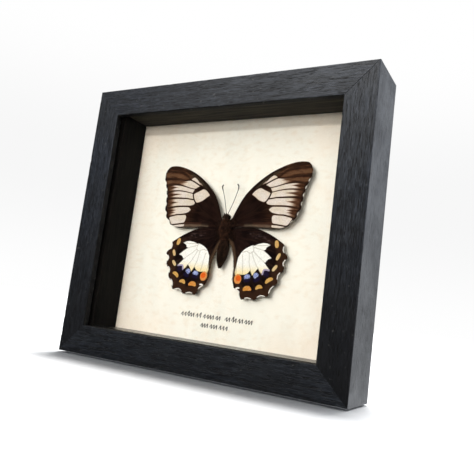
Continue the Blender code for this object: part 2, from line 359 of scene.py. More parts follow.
def grid_quads(across, up):
    """Quads of an across-by-up lattice; they face -Y."""
    index = np.arange(across * up).reshape(across, up)
    corners = (index[:-1, :-1], index[1:, :-1], index[1:, 1:], index[:-1, 1:])
    return np.stack([corner.ravel() for corner in corners], 1)


def hoop_faces(hoops, around, other_way=False):
    """Quads between neighbouring hoops of points, and last a cap on each end."""
    index = np.arange(hoops * around).reshape(hoops, around)
    after = np.roll(index, -1, 1)
    quads = np.stack([index[:-1], index[1:], after[1:], after[:-1]], 2).reshape(-1, 4)
    faces = [*quads.tolist(), index[0].tolist(), index[-1, ::-1].tolist()]
    return [[face[0], *face[:0:-1]] for face in faces] if other_way else faces


print("mesh helpers ready")

# %% Closed sheets and soft steps
def close_sheet(front, quads, thick):
    """Add a back face behind the front (at +Y) and a rim of quads round every open edge."""
    count = len(front)
    back = front + np.array((0, thick, 0))
    sides = np.concatenate([quads[:, [k, (k + 1) % 4]] for k in range(4)])
    codes = sides[:, 0] * count + sides[:, 1]
    twins = sides[:, 1] * count + sides[:, 0]
    rim = sides[~np.isin(codes, twins)]
    walls = np.stack([rim[:, 1], rim[:, 0], rim[:, 0] + count, rim[:, 1] + count], 1)
    return np.vstack([front, back]), np.vstack([quads, quads[:, ::-1] + count, walls])


def ease(low, high, value):
    """0 below low, 1 above high, and a smooth step between."""
    share = np.clip((value - low) / (high - low), 0, 1)
    return share * share * (3 - 2 * share)


def ripples(across, up, size, seed):
    """Soft random waves, about -1 to 1, made of a few sines of that size in millimetres."""
    dice = np.random.default_rng(seed)
    total = np.zeros_like(across)
    for _ in range(6):
        turn = dice.uniform(0, 2 * math.pi)
        pitch = 2 * math.pi / (size * dice.uniform(0.6, 1.6))
        along = across * math.cos(turn) + up * math.sin(turn)
        total += np.sin(pitch * along + dice.uniform(0, 2 * math.pi))
    return total / 3


print("sheet helpers ready")

# %% [markdown]
# ## The four rails
#
# Each rail is an L in section: a face with a lip that holds the glass, and a wall that makes the depth.  The
# four are sawn at 45 degrees, glued at the mitres and rubbed down, so their edges are a little round and have
# lost small chips.  A swept section does it: every point of the section runs from one mitre to the other, and
# its own distance from the outside decides how long that run is.  The arrises get noise so that they waver,
# which a bevel on a box would not.

# %% Section of a rail
RAIL_ROUND = 0.55
CORNER_STEPS, CORNER_LEAD = 4, 0.2
NEAR_END = 0.9995
OPEN, TIGHT = 0.15, 0.0
GLASS_PLAY = 0.3


def rounded_section(corners, round_mm):
    """The section's outline with each convex corner rounded; also which points belong to a corner."""
    outline, worn = [], []
    count = len(corners)
    for index, corner in enumerate(np.array(corners, float)):
        before, after = (np.array(corners[(index + k) % count], float) - corner for k in (-1, 1))
        before, after = before / np.hypot(*before), after / np.hypot(*after)
        outline.append(corner + (round_mm + CORNER_LEAD) * before)
        worn.append(0.0)
        for step in range(CORNER_STEPS + 1):
            turn = 0.5 * math.pi * step / CORNER_STEPS
            outline.append(corner + round_mm * (before * (1 - math.sin(turn)) + after * (1 - math.cos(turn))))
            worn.append(math.sin(2 * turn))
        outline.append(corner + (round_mm + CORNER_LEAD) * after)
        worn.append(0.0)
    return np.array(outline), np.array(worn)


print("rail section rounded to", RAIL_ROUND, "mm")

# %% Rails
def make_rail(name, half_length, reach, turn, gaps, material, seed):
    low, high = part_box("rail_" + name)
    depth = (high.y - low.y) / MM
    corners = [(0, 0), (0, depth), (WALL, depth), (WALL, LIP), (FACE, LIP), (FACE, 0)]
    section, worn = rounded_section(corners, RAIL_ROUND)
    stations = np.concatenate([[-1.0], np.linspace(-NEAR_END, NEAR_END, 258), [1.0]])
    gap = np.where(stations < 0, *gaps)[:, None] * ease(2.0, 0.6, section[None, :, 1])
    along = stations[:, None] * (half_length - section[None, :, 0] - gap)
    inward, deep = (np.broadcast_to(section[:, k], along.shape).copy() for k in (0, 1))
    chips = ease(0.55, 1.1, ripples(along, deep, 9, seed))
    waver = 0.05 + 0.05 * ripples(along, inward, 30, seed + 1)
    share = (0.10 * chips + 0.02 * waver) * worn
    inward += share * (0.5 * WALL - inward) / (0.5 * WALL)
    deep += np.where(deep < 0.5 * LIP, 1, -1) * 1.2 * share
    inward, deep = np.clip(inward, 0, FACE), np.clip(deep, 0, depth)
    flat = np.stack([along.ravel(), deep.ravel() + low.y / MM, reach - inward.ravel()], 1)
    spin = np.array(Matrix.Rotation(turn, 3, "Y"))
    points = (flat @ spin.T + np.array((0, 0, 0.5 * HEIGHT))) * MM
    faces = hoop_faces(len(stations), len(section))
    caps = (len(faces) - 2, len(faces) - 1)
    rail = make_item("stained_rail_" + name, points, faces, material, flat_faces=caps)
    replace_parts(rail, "rail_" + name)
    print("rail", name, "has", len(faces), "faces")


WIDTH, HEIGHT = ((box_at_start[1][k] - box_at_start[0][k]) / MM for k in (0, 2))
glass_low, glass_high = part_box("glass")
rail_low, rail_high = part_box("rail_top")
FACE = (rail_high.z - rail_low.z) / MM
LIP = (glass_low.y - rail_low.y) / MM - GLASS_PLAY
WALL = 0.5 * WIDTH - glass_high.x / MM - GLASS_PLAY
# Each rail: half its length, how far out it lies, its turn, the gaps at its mitres, and the wood's details:
# how its grain is stretched, where its noise is shifted to, and how much painted shade darkens its low end
RAILS = [("top", 0.5 * WIDTH, 0.5 * HEIGHT, 0.0, (TIGHT, OPEN), (0.05, 1, 1), (0, 0, 0), 0.0),
         ("right", 0.5 * HEIGHT, 0.5 * WIDTH, 0.5 * math.pi, (OPEN, TIGHT), (1, 1, 0.06), (0, 13, 60), 0.8),
         ("bottom", 0.5 * WIDTH, 0.5 * HEIGHT, math.pi, (TIGHT, TIGHT), (0.05, 1, 1), (40, 9, 3), 0.0),
         ("left", 0.5 * HEIGHT, 0.5 * WIDTH, -0.5 * math.pi, (TIGHT, TIGHT), (1, 1, 0.05), (7, 0, 20), 0.6)]
for seed, (name, half_length, reach, turn, gaps, *details) in enumerate(RAILS):
    wood = new_finish("stained_" + name, stained_wood, *details)
    make_rail(name, half_length, reach, turn, gaps, wood, 10 * seed)

# %% [markdown]
# ## Parchment behind the butterfly
#
# The backing paper is a cream parchment: ivory in the middle, tanned towards the edges, with faint clouds and
# lying not quite flat.  The tan comes from the distance to the middle, warped by noise so that it has no clean
# outline, and the cockle is real relief so that grazing light finds it.

# %% Backing paper
def parchment(tree):
    place = axes(tree)
    wide = sums(tree, "POWER", sums(tree, "ABSOLUTE", sums(tree, "DIVIDE", place["X"], 84.0)), 2.6)
    tall = sums(tree, "DIVIDE", sums(tree, "SUBTRACT", place["Z"], PAPER_MIDDLE), 80.0)
    tall = sums(tree, "POWER", sums(tree, "ABSOLUTE", tall), 2.6)
    clouds = grainy(tree, 0.045, 4.0, 0.6)
    mottle = grainy(tree, 0.22, 4.0, 0.6, (1, 1, 1.6))
    fibres = grainy(tree, 1.6, 4.0, 0.7, (1, 1, 2.2))
    edge = sums(tree, "ADD", sums(tree, "ADD", wide, tall), span(tree, clouds, 0.2, 0.8, -0.3, 0.3))
    sheet = blend(tree, span(tree, edge, 0.35, 1.25), tone(253, 249, 234), tone(252, 240, 221))
    sheet = layers(tree, sheet,
                   (span(tree, mottle, 0.47, 0.72, 0.0, 0.35), tone(238, 220, 192)),
                   (span(tree, clouds, 0.52, 0.75, 0.0, 0.4), tone(254, 247, 230)),
                   (span(tree, fibres, 0.66, 0.78, 0.0, 0.25), tone(214, 196, 166)))
    height = sums(tree, "ADD", mottle, times(tree, fibres, 0.4))
    return {"Base Color": sheet, "Roughness": 0.85, "Normal": relief(tree, height, 0.10, 0.6)}


def cockle(x, z):
    """How far the paper's face waves in and out at each place, in millimetres."""
    return PAPER_COCKLE * ripples(x, z, 38, 4)


paper_low, paper_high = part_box("backing_paper")
PAPER_MIDDLE = 0.5 * (paper_low.z + paper_high.z) / MM
PAPER_FACE = paper_low.y / MM
PAPER_CELLS = (110, 100)
PAPER_COCKLE = 0.09
rulers = [np.linspace(paper_low[k] / MM, paper_high[k] / MM, PAPER_CELLS[k // 2]) for k in (0, 2)]
x, z = lattice(*rulers)
front = metres(x, PAPER_FACE + 0.1 + cockle(x, z), z)
points, faces = close_sheet(front, grid_quads(*PAPER_CELLS), 0.2 * MM)
paper = make_item("parchment_sheet", points, faces, new_finish("parchment", parchment))
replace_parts(paper, "backing_paper")
print("paper has", len(faces), "faces")

# %% [markdown]
# ## A line of penmanship
#
# A name is written under the butterfly in brown-black ink.  This copy carries no words: it keeps two lines of
# plain slanting pen loops of the same length and weight, so the place for a name is there.  Each stroke is a
# flat ribbon that swells on the way down and thins on the way up, as a broad nib does, and lies a hair above
# the paper.  A text object would need a font and real words.

# %% Pen strokes
NIB, NIB_TURN = 0.8, math.radians(40)
PITCH, LETTER_HIGH, SLANT = 2.3, 2.3, 0.32
INK_WORDS = ((-26.2, 33.3, 7), (-9.0, 33.3, 6), (7.3, 33.3, 9), (-10.2, 27.6, 9))


def pen_ribbon(route):
    """Both edges of a ribbon along (x, z) points; a broad nib held at a slant writes thick down and thin up."""
    heading = np.gradient(route, axis=0)
    turn = np.arctan2(heading[:, 1], heading[:, 0])
    wide = 0.5 * NIB * (0.25 + 0.75 * np.abs(np.sin(turn - NIB_TURN)))
    across = np.stack([-np.sin(turn), np.cos(turn)], 1) * wide[:, None]
    return np.stack([route - across, route + across], 1).reshape(-1, 2)


def pen_word(start, base, loops, dice):
    """Slanting humps in runs of one to three, with the nib lifted in between; some start with a tall one."""
    runs = []
    while loops > 0:
        count = min(loops, int(dice.integers(1, 4)))
        t = np.linspace(0.15, count, 18 * count)
        tall = 1 + 0.4 * (dice.random() < 0.25)
        z = base + LETTER_HIGH * (0.5 - 0.5 * np.cos(2 * math.pi * t)) * np.where(t < 1, tall, 1)
        x = start + PITCH * 0.86 * t + SLANT * (z - base)
        runs.append(np.stack([x, z], 1))
        start += PITCH * count
        loops -= count
    return runs


dice = np.random.default_rng(11)
ink_points, ink_faces, ink_count = [], [], 0
for start, base, loops in INK_WORDS:
    for run in pen_word(start, base, loops, dice):
        x, z = pen_ribbon(run).T
        front = metres(x, PAPER_FACE + 0.05 + cockle(x, z), z)
        points, faces = close_sheet(front, grid_quads(len(run), 2), 0.04 * MM)
        ink_points.append(points)
        ink_faces += [[ink_count + corner for corner in face] for face in faces]
        ink_count += len(points)


def pen_ink(tree):
    pooled = grainy(tree, 1.2, 2.0)
    shade = blend(tree, span(tree, pooled, 0.35, 0.65), tone(24, 22, 20), tone(48, 44, 40))
    return {"Base Color": shade, "Roughness": 0.6, "Normal": relief(tree, pooled, 0.02, 0.4)}


ink = new_finish("pen_ink", pen_ink)
make_item("pen_flourish", np.concatenate(ink_points), ink_faces, ink, smooth=False)
print("pen strokes have", len(ink_faces), "faces")

# %% [markdown]
# ## Board and metal at the back
#
# Behind the paper sits a brown hardboard, held by eight zinc-plated tabs, with a sawtooth strip to hang it
# by.  Hardboard shows pressed fibres in every direction and one slightly fuzzy face; zinc plate has a dull
# crystalline bloom, fine scratches and a trace of rust where it has been bent.

# %% Hardboard and zinc
def hardboard(tree):
    matted = grainy(tree, 0.9, 5.0, 0.75, (1, 1, 0.8))
    crossed = grainy(tree, 1.4, 4.0, 0.7, (0.7, 1, 1.1))
    stain = grainy(tree, 0.03, 3.0)
    board = blend(tree, span(tree, matted, 0.3, 0.7), tone(96, 66, 40), tone(140, 102, 66))
    board = layers(tree, board, (span(tree, crossed, 0.55, 0.75, 0.0, 0.6), tone(166, 130, 90)),
                   (span(tree, stain, 0.45, 0.7, 0.0, 0.4), tone(82, 56, 34)))
    height = sums(tree, "ADD", matted, crossed)
    return {"Base Color": board, "Roughness": 0.8, "Normal": relief(tree, height, 0.12, 0.8)}


def speckle(tree, per_mm, stretch=(1, 1, 1)):
    """Small cells, each with its own number."""
    cells = put(tree, "TexVoronoi", {"Vector": millimetres(tree, stretch), "Scale": per_mm}).outputs["Color"]
    return put(tree, "SeparateColor", {0: cells}).outputs[0]


def zinc_plate(tree):
    bloom = speckle(tree, 0.9)
    scratch = span(tree, grainy(tree, 3.0, 2.0, stretch=(0.12, 1, 1)), 0.58, 0.66)
    rust = span(tree, grainy(tree, 0.35, 5.0, 0.7), 0.60, 0.72)
    metal = blend(tree, bloom, tone(116, 117, 117), tone(154, 154, 150))
    metal = blend(tree, times(tree, rust, 0.6), metal, tone(120, 78, 44))
    return {"Base Color": metal, "Metallic": sums(tree, "SUBTRACT", 1.0, times(tree, rust, 0.7)),
            "Roughness": sums(tree, "ADD", span(tree, bloom, 0, 1, 0.28, 0.42), times(tree, rust, 0.3)),
            "Normal": relief(tree, sums(tree, "SUBTRACT", bloom, scratch), 0.02, 0.5)}


frame["nodes"]["backing_board"].data.materials[0] = new_finish("pressed_board", hardboard)
zinc = new_finish("zinc_plate", zinc_plate)
print("hardboard and zinc finished")

# %% [markdown]
# A holding tab is a tongue of sheet zinc: it leaves a slot in the rail, dips onto the board, has a pressed rib
# down its middle, and its rounded tip is turned up for a thumb.  The hanger is a strip with a pressed channel
# and a row of teeth, held by two domed rivets.  Both are grids bent by a height rule, so their ribs, teeth and
# tips are real shape and not only bump.

# %% Holding tabs
TAB_CELLS = (29, 37)
ZINC_THICK = 0.4


def box_mm(node):
    """The lowest and highest corners of a node, and its middle, in millimetres."""
    low, high = (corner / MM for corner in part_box(node))
    return low, high, 0.5 * (low + high)


def make_tab(number):
    low, high, middle = box_mm(f"holding_tab_{number}")
    size = high - low
    on_side = abs(middle.x) > 0.5 * FACE + abs(middle.z - 0.5 * HEIGHT)
    reach, wide = (size.x, size.z) if on_side else (size.z, size.x)
    if on_side:
        turn = math.pi if middle.x > 0 else 0.0
    else:
        turn = -0.5 * math.pi if middle.z > 0.5 * HEIGHT else 0.5 * math.pi
    u, v = lattice(np.linspace(0, 1, TAB_CELLS[0]), np.linspace(-1, 1, TAB_CELLS[1]))
    tip = np.sqrt(np.clip(1 - np.clip((u - 0.78) / 0.26, 0, 1) ** 2, 0, 1))
    across = v * 0.5 * wide * (0.55 + 0.45 * tip)
    rib = 0.28 * np.exp(-(across / 0.8) ** 2) * ease(0.1, 0.25, u) * ease(0.8, 0.65, u)
    y = low.y + 0.35 * ease(0.2, 0.0, u) + rib + 0.55 * ease(0.75, 1.0, u)
    out = reach * (u - 0.5)
    x = middle.x + out * math.cos(turn) - across * math.sin(turn)
    z = middle.z + out * math.sin(turn) + across * math.cos(turn)
    points, faces = close_sheet(metres(x, y, z), grid_quads(*TAB_CELLS), ZINC_THICK * MM)
    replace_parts(make_item(f"zinc_tab_{number}", points, faces, zinc), f"holding_tab_{number}")


for number in range(1, 9):
    make_tab(number)
print("eight holding tabs made")

# %% Hanger and rivets
HANGER_CELLS = (177, 21)
TEETH_HALF, TOOTH_PITCH, TOOTH_TALL = 11, 2, 1.4
HANGER_CORNER = 1.3
CHANNEL_LEVEL = 155.6
RIVET_SIDES = 32
RIVET_PROFILE = ((0.05, 0.62), (0.5, 0.70), (1.0, 0.68), (1.45, 0.55), (1.75, 0.28), (1.8, 0.0), (0.05, 0.0))

low, high, middle = box_mm("hanger_strip")
x, share = lattice(np.linspace(low.x, high.x, HANGER_CELLS[0]), np.linspace(0, 1, HANGER_CELLS[1]))
tooth = np.where(np.abs(x) < TEETH_HALF, TOOTH_TALL * (1 - np.abs((x % TOOTH_PITCH) - 1)), 0)
past_corner = np.clip(np.abs(x) - high.x + HANGER_CORNER, 0, HANGER_CORNER)
rounding = HANGER_CORNER - np.sqrt(HANGER_CORNER ** 2 - past_corner ** 2)
z = low.z + tooth + rounding + share * (high.z - low.z - tooth - 2 * rounding)
channel = ease(15, 13, np.abs(x)) * ease(3.0, 2.0, np.abs(z - CHANNEL_LEVEL)) * 0.5
points, faces = close_sheet(metres(x, low.y + channel, z), grid_quads(*HANGER_CELLS), ZINC_THICK * MM)
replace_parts(make_item("zinc_hanger", points, faces, zinc), "hanger_strip")

turns = 2 * math.pi * np.arange(RIVET_SIDES) / RIVET_SIDES
radius, lift = (column[:, None] for column in np.array(RIVET_PROFILE).T)
for word in ("left", "right"):
    low, high, middle = box_mm(f"hanger_rivet_{word}")
    level = low.y - 0.25 + lift + 0 * turns
    points = metres(middle.x + radius * np.cos(turns), level, middle.z + radius * np.sin(turns))
    faces = hoop_faces(len(RIVET_PROFILE), RIVET_SIDES, other_way=True)
    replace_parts(make_item("zinc_rivet_" + word, points, faces, zinc), "hanger_rivet_" + word)
print("a hanger and two rivets made")

# %% [markdown]
# ## The outline of a wing
#
# All four wings are drawn once, as right wings, in millimetres from the middle of the thorax: first how far
# out, then how far up.  The front edge and the inner edge are smooth curves through a few points.  The outer
# margin runs from vein tip to vein tip and dips in between, deeply on the hindwing.  The left pair was set
# lower by hand when the insect was mounted, so each left wing is the right one mirrored, turned and stretched
# a little.

# %% Wing outlines
def smooth_run(points, steps):
    """Points along a Catmull-Rom curve; the last point is left to the next run."""
    ends = np.array([points[0], *points, points[-1]], float)
    run = []
    for before, start, stop, after in zip(ends, ends[1:], ends[2:], ends[3:]):
        for t in np.arange(steps) / steps:
            curve = 2 * start + t * (stop - before) + t * t * (2 * before - 5 * start + 4 * stop - after)
            run.append(0.5 * (curve + t ** 3 * (3 * start - before - 3 * stop + after)))
    return run


def margin_run(tips, dips, steps=14):
    """The outer margin: broad lobes at the vein tips with a narrower notch between each pair."""
    run = []
    for start, stop, dip in zip(np.array(tips), np.array(tips[1:]), dips):
        chord = stop - start
        inward = np.array((chord[1], -chord[0])) / np.hypot(*chord)
        for t in np.arange(steps) / steps:
            run.append(start + t * chord + dip * math.sin(math.pi * t) ** 2.6 * inward)
    return run


def wing_ring(leading, tips, dips, trailing):
    """The whole outline: the front edge, the outer margin and the inner edge in a row."""
    front, back = smooth_run(leading, 8), smooth_run(trailing, 8)
    return np.array([*front, *margin_run(tips, dips), *back, trailing[-1]])


FORE_TIPS = [(53.9, 42.0), (55.0, 39.0), (54.8, 35.4), (52.7, 30.3), (51.4, 26.0), (50.5, 21.2), (50.0, 15.0),
             (47.6, 9.2), (42.7, 4.0)]
FORE_DIPS = [0.05, 0.15, 0.25, 0.3, 0.3, 0.3, 0.3, 0.3]
FORE_RING = wing_ring([(1.5, 6.2), (3.6, 7.8), (6.6, 14.6), (9.4, 20.0), (12.6, 24.7), (17.2, 29.5),
                       (22.2, 33.6), (27.2, 37.0), (32.2, 39.7), (37.2, 41.8), (42.2, 43.3), (47.2, 44.1),
                       (51.6, 43.8), (53.9, 42.0)], FORE_TIPS, FORE_DIPS,
                      [(42.7, 4.0), (35.2, 2.2), (22.0, 2.6), (12.0, 2.6), (4.1, 1.6), (1.5, 1.0)])
HIND_TIPS = [(41.4, -6.8), (44.7, -14.5), (43.1, -21.8), (39.5, -30.7), (34.6, -38.9), (25.4, -41.8),
             (16.8, -42.2), (10.6, -35.2)]
HIND_DIPS = [1.3, 1.4, 1.4, 1.1, 1.4, 0.9, 1.2]
HIND_RING = wing_ring([(1.0, 1.0), (4.1, 1.4), (12.0, 2.4), (20.0, 2.3), (27.2, 0.5), (34.5, -2.7),
                       (41.4, -6.8)], HIND_TIPS, HIND_DIPS,
                      [(10.6, -35.2), (9.0, -30.5), (9.1, -24.7), (8.1, -17.7), (6.2, -11.8), (3.7, -6.8),
                       (1.0, -4.5)])
BODY_X = 2.8
BODY_Z = 90.0
AS_DRAWN = ((1.0, 0.0, 0.0), (0.0, 1.0, 0.0))
LEFT_FORE_SET = ((1.015, -0.054, 0.47), (-0.019, 1.024, -1.0))
LEFT_HIND_SET = ((1.028, -0.063, -2.7), (-0.063, 0.993, 0.42))


def set_wing(points, stance, side):
    """Drawn points (out, up) placed on the insect; side is 1 for right and -1 for left."""
    placed = np.column_stack([points, np.ones(len(points))]) @ np.array(stance).T
    return np.column_stack([BODY_X + side * placed[:, 0], BODY_Z + placed[:, 1]])


print("forewing outline has", len(FORE_RING), "points, hindwing", len(HIND_RING))

# %% [markdown]
# ## Distances make the markings
#
# Everything on a wing is arranged by its veins: they stand up as ridges, they are lined with dark scales, and
# they split the pale areas into separate windows.  So the two things worth knowing at any point are how far it
# is from the nearest vein and how far inside a drawn shape it lies.  Both come from the same sum, the distance
# from a point to a short straight piece of line.

# %% Distance helpers
def distance_to(points, middle):
    return np.hypot(*(points - np.array(middle)).T)


def line_distance(points, line):
    """The distance from each point to an open line."""
    nearest = np.full(len(points), np.inf)
    for start, stop in zip(np.array(line, float), np.array(line[1:], float)):
        along = stop - start
        share = np.clip((points - start) @ along / (along @ along + 1e-12), 0, 1)
        nearest = np.minimum(nearest, np.hypot(*(points - start - share[:, None] * along).T))
    return nearest


def depth_inside(points, ring):
    """The distance from each point to a closed outline: positive inside it and negative outside."""
    ring = np.array(ring, float)
    inside = np.zeros(len(points), bool)
    for start, stop in zip(ring, np.roll(ring, -1, 0)):
        crosses = (start[1] > points[:, 1]) != (stop[1] > points[:, 1])
        rise = stop[1] - start[1] if stop[1] != start[1] else 1e-12
        meets = start[0] + (points[:, 1] - start[1]) * (stop[0] - start[0]) / rise
        inside ^= crosses & (points[:, 0] < meets)
    return np.where(inside, 1, -1) * line_distance(points, np.vstack([ring, ring[:1]]))


def smooth_line(points, steps=5):
    return np.array(smooth_run(points, steps) + [np.array(points[-1], float)])


def patch(points, outline, soft):
    """1 inside an outline and 0 outside, with an edge that is soft millimetres wide each way."""
    return ease(-soft, soft, depth_inside(points, smooth_line([*outline, outline[0]], 4)))


def daub(points, middle, half, tilt=0.0, bend=0.0, soft=0.25):
    """A blunt oval spot, turned by tilt degrees and bent into a crescent."""
    away = points - np.array(middle)
    cos, sin = math.cos(math.radians(tilt)), math.sin(math.radians(tilt))
    u = (away[:, 0] * cos + away[:, 1] * sin) / half[0]
    v = (away[:, 1] * cos - away[:, 0] * sin) / half[1] + bend * u * u
    return ease(1 + soft, 1 - soft, (np.abs(u) ** 2.6 + np.abs(v) ** 2.6) ** (1 / 2.6))


def rays(points, root, seed):
    """Fine strokes that run out from the wing's root, as its long hairs do."""
    away = points - np.array(root)
    turn = np.degrees(np.arctan2(away[:, 1], away[:, 0]))
    return ease(0.15, 1.1, ripples(turn, 0.25 * np.hypot(*away.T), 3.2, seed))


def streak(points, line, wide, soft=0.5):
    """1 on a line of that half width and 0 away from it."""
    return ease(wide * (1 + soft), wide * (1 - soft), line_distance(points, smooth_line(line)))


print("distance helpers ready")

# %% [markdown]
# ## The forewing's veins and windows
#
# The forewing is black-brown at the base and warm brown at the tip.  Between its outer veins lie cream
# windows, each with its own blunt inner end and, towards the margin, a brown fold line that splits it into
# two fading lobes.  One more window fills the end of the long cell near the front edge, closed off by a thick
# black bar.  Each is drawn as a coarse outline; the veins, subtracted afterwards, cut the edges clean.

# %% Forewing drawing
FORE_VEINS = [
    ([(2, 6), (6, 13), (12, 22.6), (18, 28.6), (25, 33.8), (31, 37.8), (37, 40.6)], 0.30, 0.30),
    ([(2, 5.5), (8, 13), (13, 20.5), (17.2, 25.6), (21.5, 28.9), (23.9, 29.7)], 0.35, 0.5),
    ([(17, 25.4), (22, 30), (27, 34.2), (33, 38), (38, 40.8)], 0.22, 0.22),
    ([(21, 28.7), (26, 33.3), (31.5, 37), (37, 39.8), (43, 41.9), (48, 42.8)], 0.22, 0.25),
    ([(35.5, 36.4), (40, 39.6), (46, 41.6), (52, 42.9)], 0.22, 0.3),
    ([(23.9, 29.7), (27, 31.3), (30.5, 33.1), (33, 34.2), (35.5, 36.4), (39, 38.3), (44, 39.7), (54.3, 40.9)],
     0.34, 0.3),
    ([(33, 34.1), (37.2, 33.8), (42, 34.6), (47, 35.3), (54.8, 35.5)], 0.30, 0.45),
    ([(26.2, 28.9), (27.9, 27.9), (32, 28.6), (37.2, 30.0), (42.2, 31), (47.2, 31.3), (52.6, 30.5)],
     0.20, 0.5),
    ([(29.3, 24.9), (32.2, 25.6), (37.2, 26.6), (42.2, 27.0), (47.2, 26.8), (51.4, 26)], 0.22, 0.42),
    ([(27.6, 20.7), (30.2, 21.1), (33.2, 21.6), (37.2, 21.8), (42.2, 22), (47.2, 21.9), (50.5, 21.2)],
     0.36, 0.62),
    ([(25.5, 18.3), (27.2, 17), (30.2, 16.4), (35.2, 16.4), (40.2, 16.3), (45.2, 15.7), (50, 14.9)],
     0.45, 0.52),
    ([(2, 3.5), (9, 7.5), (17, 11.5), (22, 15.5), (25.5, 18.3)], 0.3, 0.3),
    ([(17, 11.5), (24, 12.2), (30, 11.9), (35.2, 10.9), (39.2, 10.8), (43.2, 9.9), (47.6, 9.0)], 0.35, 0.45),
    ([(2, 2.5), (12, 4.2), (22, 4.9), (33.2, 4.95), (37.2, 4.5), (41.2, 3.9), (42.7, 3.8)], 0.3, 0.3),
    ([(28.6, 26.2), (29.2, 25.2), (28.9, 23.5), (28.2, 21.8), (27.6, 20.7), (26.6, 19.3), (25.5, 18.3)],
     0.40, 0.40),
]
CELL_BAR = [(22.4, 27.7), (22.4, 29.1), (24.6, 29.5), (28.4, 27.6), (29.8, 25.2), (29.0, 24.5), (27.4, 25.4),
            (25.4, 26.2)]
# Each window: outline, softness of its edge, and where it starts and stops fading on its way out
FORE_WINDOWS = [
    ([(15.9, 23.5), (17.4, 25.8), (21.4, 27.6), (24.5, 26.6), (28.6, 24.6), (28.6, 22.6), (27.2, 20.4),
      (25.4, 18.8), (22.2, 19.5), (20.3, 20.5), (18.3, 22.0)], 0.55, 90, 99),
    ([(18.9, 27.1), (21.2, 29.5), (24.4, 32.0), (25.0, 31.6), (22.2, 29.2), (19.6, 27.2)], 0.35, 90, 99),
    ([(24.0, 30.2), (26.4, 32.9), (28.9, 35.5), (31.2, 35.3), (32.3, 34.2), (29.9, 33.1), (26.8, 31.3)],
     0.35, 90, 99),
    ([(25.0, 29.5), (27.2, 31.0), (30.2, 32.6), (33.2, 33.7), (38.2, 33.9), (44.2, 34.6), (44.2, 31.0),
      (37.2, 30.0), (32.2, 28.6), (28.7, 28.0)], 0.35, 35, 45),
    ([(28.6, 27.7), (32.2, 28.4), (37.2, 29.8), (42.2, 30.8), (49.4, 31.0), (49.4, 26.6), (42.2, 27.0),
      (37.2, 26.6), (32.2, 25.6), (29.3, 25.0)], 0.35, 44.5, 50),
    ([(29.3, 24.8), (32.2, 25.6), (37.2, 26.6), (42.2, 27.0), (49.2, 26.6), (48.6, 22.0), (42.2, 21.9),
      (33.2, 21.5), (28.2, 20.9), (28.6, 22.8)], 0.35, 43.5, 49.5),
    ([(26.3, 19.2), (27.6, 20.7), (33.2, 21.6), (42.2, 22.0), (48.2, 21.9), (47.6, 15.4), (40.2, 16.3),
      (30.2, 16.4), (27.4, 17.4)], 0.35, 42.5, 48.5),
    ([(28.9, 14.0), (30.4, 15.4), (33.4, 16.2), (40.2, 16.1), (46.8, 15.4), (46.2, 9.6), (39.2, 10.9),
      (33.4, 11.5), (30.8, 12.4)], 0.40, 41.5, 47.5),
    ([(31.5, 9.4), (32.4, 10.5), (35.2, 10.7), (39.2, 10.6), (43.4, 9.7), (45.0, 8.6), (44.0, 6.8),
      (42.2, 4.5), (38, 4.8), (34.4, 5.2), (32.2, 6.0)], 0.35, 90, 99),
    ([(32.1, 4.4), (36, 4.2), (40.6, 3.6), (40.0, 2.9), (36, 2.7), (32.3, 3.1)], 0.30, 90, 99),
]
FORE_FOLDS = [([(36.0, 32.6), (40, 32.9), (50, 32.7)], 0.15, 0.75),
              ([(42.0, 29.3), (46, 29.2), (51, 28.6)], 0.10, 0.62),
              ([(38.5, 24.5), (43, 24.5), (50, 23.7)], 0.10, 0.70),
              ([(40.0, 19.2), (44, 19.0), (49, 18.3)], 0.10, 0.62),
              ([(40.5, 13.9), (44, 13.6), (48.5, 12.6)], 0.05, 0.45),
              ([(41.0, 12.3), (44, 12.2), (47.5, 11.2)], 0.05, 0.35)]
FORE_NOTCHES = [(53.6, 32.7), (51.9, 28.2), (50.8, 23.5), (50.0, 18.0), (48.4, 12.0), (45.2, 6.4)]
FORE_GREY = [(14, 3.6), (22, 3.7), (32, 3.6)]
FORE_STRIP = [(19, 5.4), (32, 5.6), (32.4, 4.5), (32.2, 3.4), (20, 3.4)]
FORE_COSTA = [(18.5, 27.5), (22, 31), (28, 36), (33, 38.5), (33, 37), (28, 34.6), (23.4, 31), (19.4, 27.6)]

print("forewing has", len(FORE_VEINS), "veins and", len(FORE_WINDOWS), "windows")

# %% Forewing marks
def thicken(points, veins):
    """The distance from each point to the edge of the nearest vein, and to its middle line."""
    out, up = points.T
    lined, bare = np.full(len(points), np.inf), np.full(len(points), np.inf)
    for line, near, far in veins:
        distance = line_distance(points, smooth_line(line))
        half = near + (far - near) * ease(30, 50, out) + 0.28 * ease(37, 46, out) * ease(29, 34, up)
        lined = np.minimum(lined, distance - half)
        bare = np.minimum(bare, distance)
    return lined, bare


